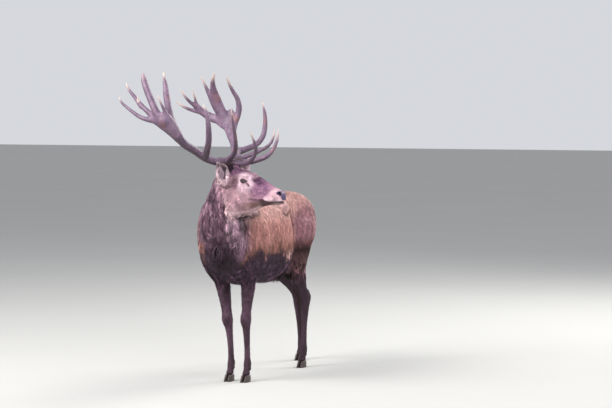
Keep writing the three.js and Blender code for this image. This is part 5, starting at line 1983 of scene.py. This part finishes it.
class STAG_OT_stage(Operator):
    """Set the floor, the soft lights, the sky and the camera"""

    bl_idname = "stag.stage"
    bl_label = "Stage"

    def execute(self, context):
        stage = context.scene.stag_stage
        scene = context.scene
        shift = Vector(SHIFT / 1000.0)
        a = stage.turn
        place = Vector((stage.distance * math.sin(a), -stage.distance * math.cos(a), stage.height)) + shift
        camera_data = bpy.data.cameras.new("Camera")
        camera_data.lens = stage.lens
        camera_data.sensor_width = 36.0
        camera_data.clip_end = 200.0
        camera = placed("Camera", camera_data)
        ahead = Vector((-math.sin(a), math.cos(a), 0.0))
        right = Vector((math.cos(a), math.sin(a), 0.0))
        look = ahead * math.cos(stage.aim_right) + right * math.sin(stage.aim_right)
        look = look * math.cos(stage.aim_down) - Vector((0, 0, 1)) * math.sin(stage.aim_down)
        aim(camera, place, place + look)
        scene.camera = camera
        self.floor(scene)
        self.lights(scene, stage)
        scene.view_settings.view_transform = "Standard"
        return {"FINISHED"}

    def floor(self, scene):
        size = 60.0
        mesh = build_mesh("floor", np.array([(-size, -size, 0), (size, -size, 0), (size, size, 0),
                                             (-size, size, 0)]), np.array([(0, 1, 2, 3)]))
        material, w, shader = principled("Floor", 0.9)
        place = w.place()
        colour = w.colour_mix(w.noise(place, 0.6), (0.40, 0.40, 0.39, 1), (0.44, 0.44, 0.43, 1))
        w.tree.links.new(colour, shader.inputs["Base Color"])
        mesh.materials.append(material)
        floor = placed("floor", mesh)

    def lights(self, scene, stage):
        for name, power, size, place, colour in (
                ("Key", stage.key, 5.0, (-3.6, -5.2, 6.4), (1.0, 0.98, 0.95)),
                ("Fill", stage.key * 0.34, 6.0, (6.5, -5.0, 3.2), (1.0, 0.97, 1.0)),
                ("Back", stage.key * 0.55, 4.0, (3.0, 5.6, 5.4), (1.0, 0.98, 0.94))):
            data = bpy.data.lights.new(name, "AREA")
            data.energy = power
            data.size = size
            data.color = colour
            light = placed(name, data)
            aim(light, place, (0.0, 0.0, 1.1))
        world = bpy.data.worlds.new("Sky")
        world.use_nodes = True
        ground = world.node_tree.nodes["Background"]
        ground.inputs[0].default_value = (0.93, 0.95, 1.0, 1)
        ground.inputs[1].default_value = stage.sky
        scene.world = world


# ------------------------------------------------------------------ panel and registration

class STAG_PT_panel(Panel):
    """Lists the pieces of the stag"""

    bl_label = "Red deer stag"
    bl_idname = "STAG_PT_panel"
    bl_space_type = "VIEW_3D"
    bl_region_type = "UI"
    bl_category = "Stag"

    def draw(self, context):
        column = self.layout.column()
        for operator in OPERATORS:
            column.operator(operator.bl_idname)
        for name in SETTINGS:
            box = self.layout.box()
            settings = getattr(context.scene, name)
            for key in settings.bl_rna.properties.keys():
                if key not in ("rna_type", "name"):
                    box.prop(settings, key)


OPERATORS = [STAG_OT_skin, STAG_OT_coat, STAG_OT_antlers, STAG_OT_eyes, STAG_OT_hooves,
             STAG_OT_whiskers, STAG_OT_stage]
SETTINGS = {
    "stag_coat": StagCoatSettings,
    "stag_antlers": StagAntlerSettings,
    "stag_horn": StagHornSettings,
    "stag_eyes": StagEyeSettings,
    "stag_stage": StagStageSettings,
}


def register():
    for settings in SETTINGS.values():
        bpy.utils.register_class(settings)
    for name, settings in SETTINGS.items():
        setattr(bpy.types.Scene, name, PointerProperty(type=settings))
    for operator in OPERATORS:
        bpy.utils.register_class(operator)
    bpy.utils.register_class(STAG_PT_panel)


def unregister():
    bpy.utils.unregister_class(STAG_PT_panel)
    for operator in reversed(OPERATORS):
        bpy.utils.unregister_class(operator)
    for name, settings in SETTINGS.items():
        delattr(bpy.types.Scene, name)
        bpy.utils.unregister_class(settings)


def main():
    register()
    for operator in OPERATORS:
        family, name = operator.bl_idname.split(".")
        getattr(getattr(bpy.ops, family), name)()


if __name__ == "__main__":
    main()
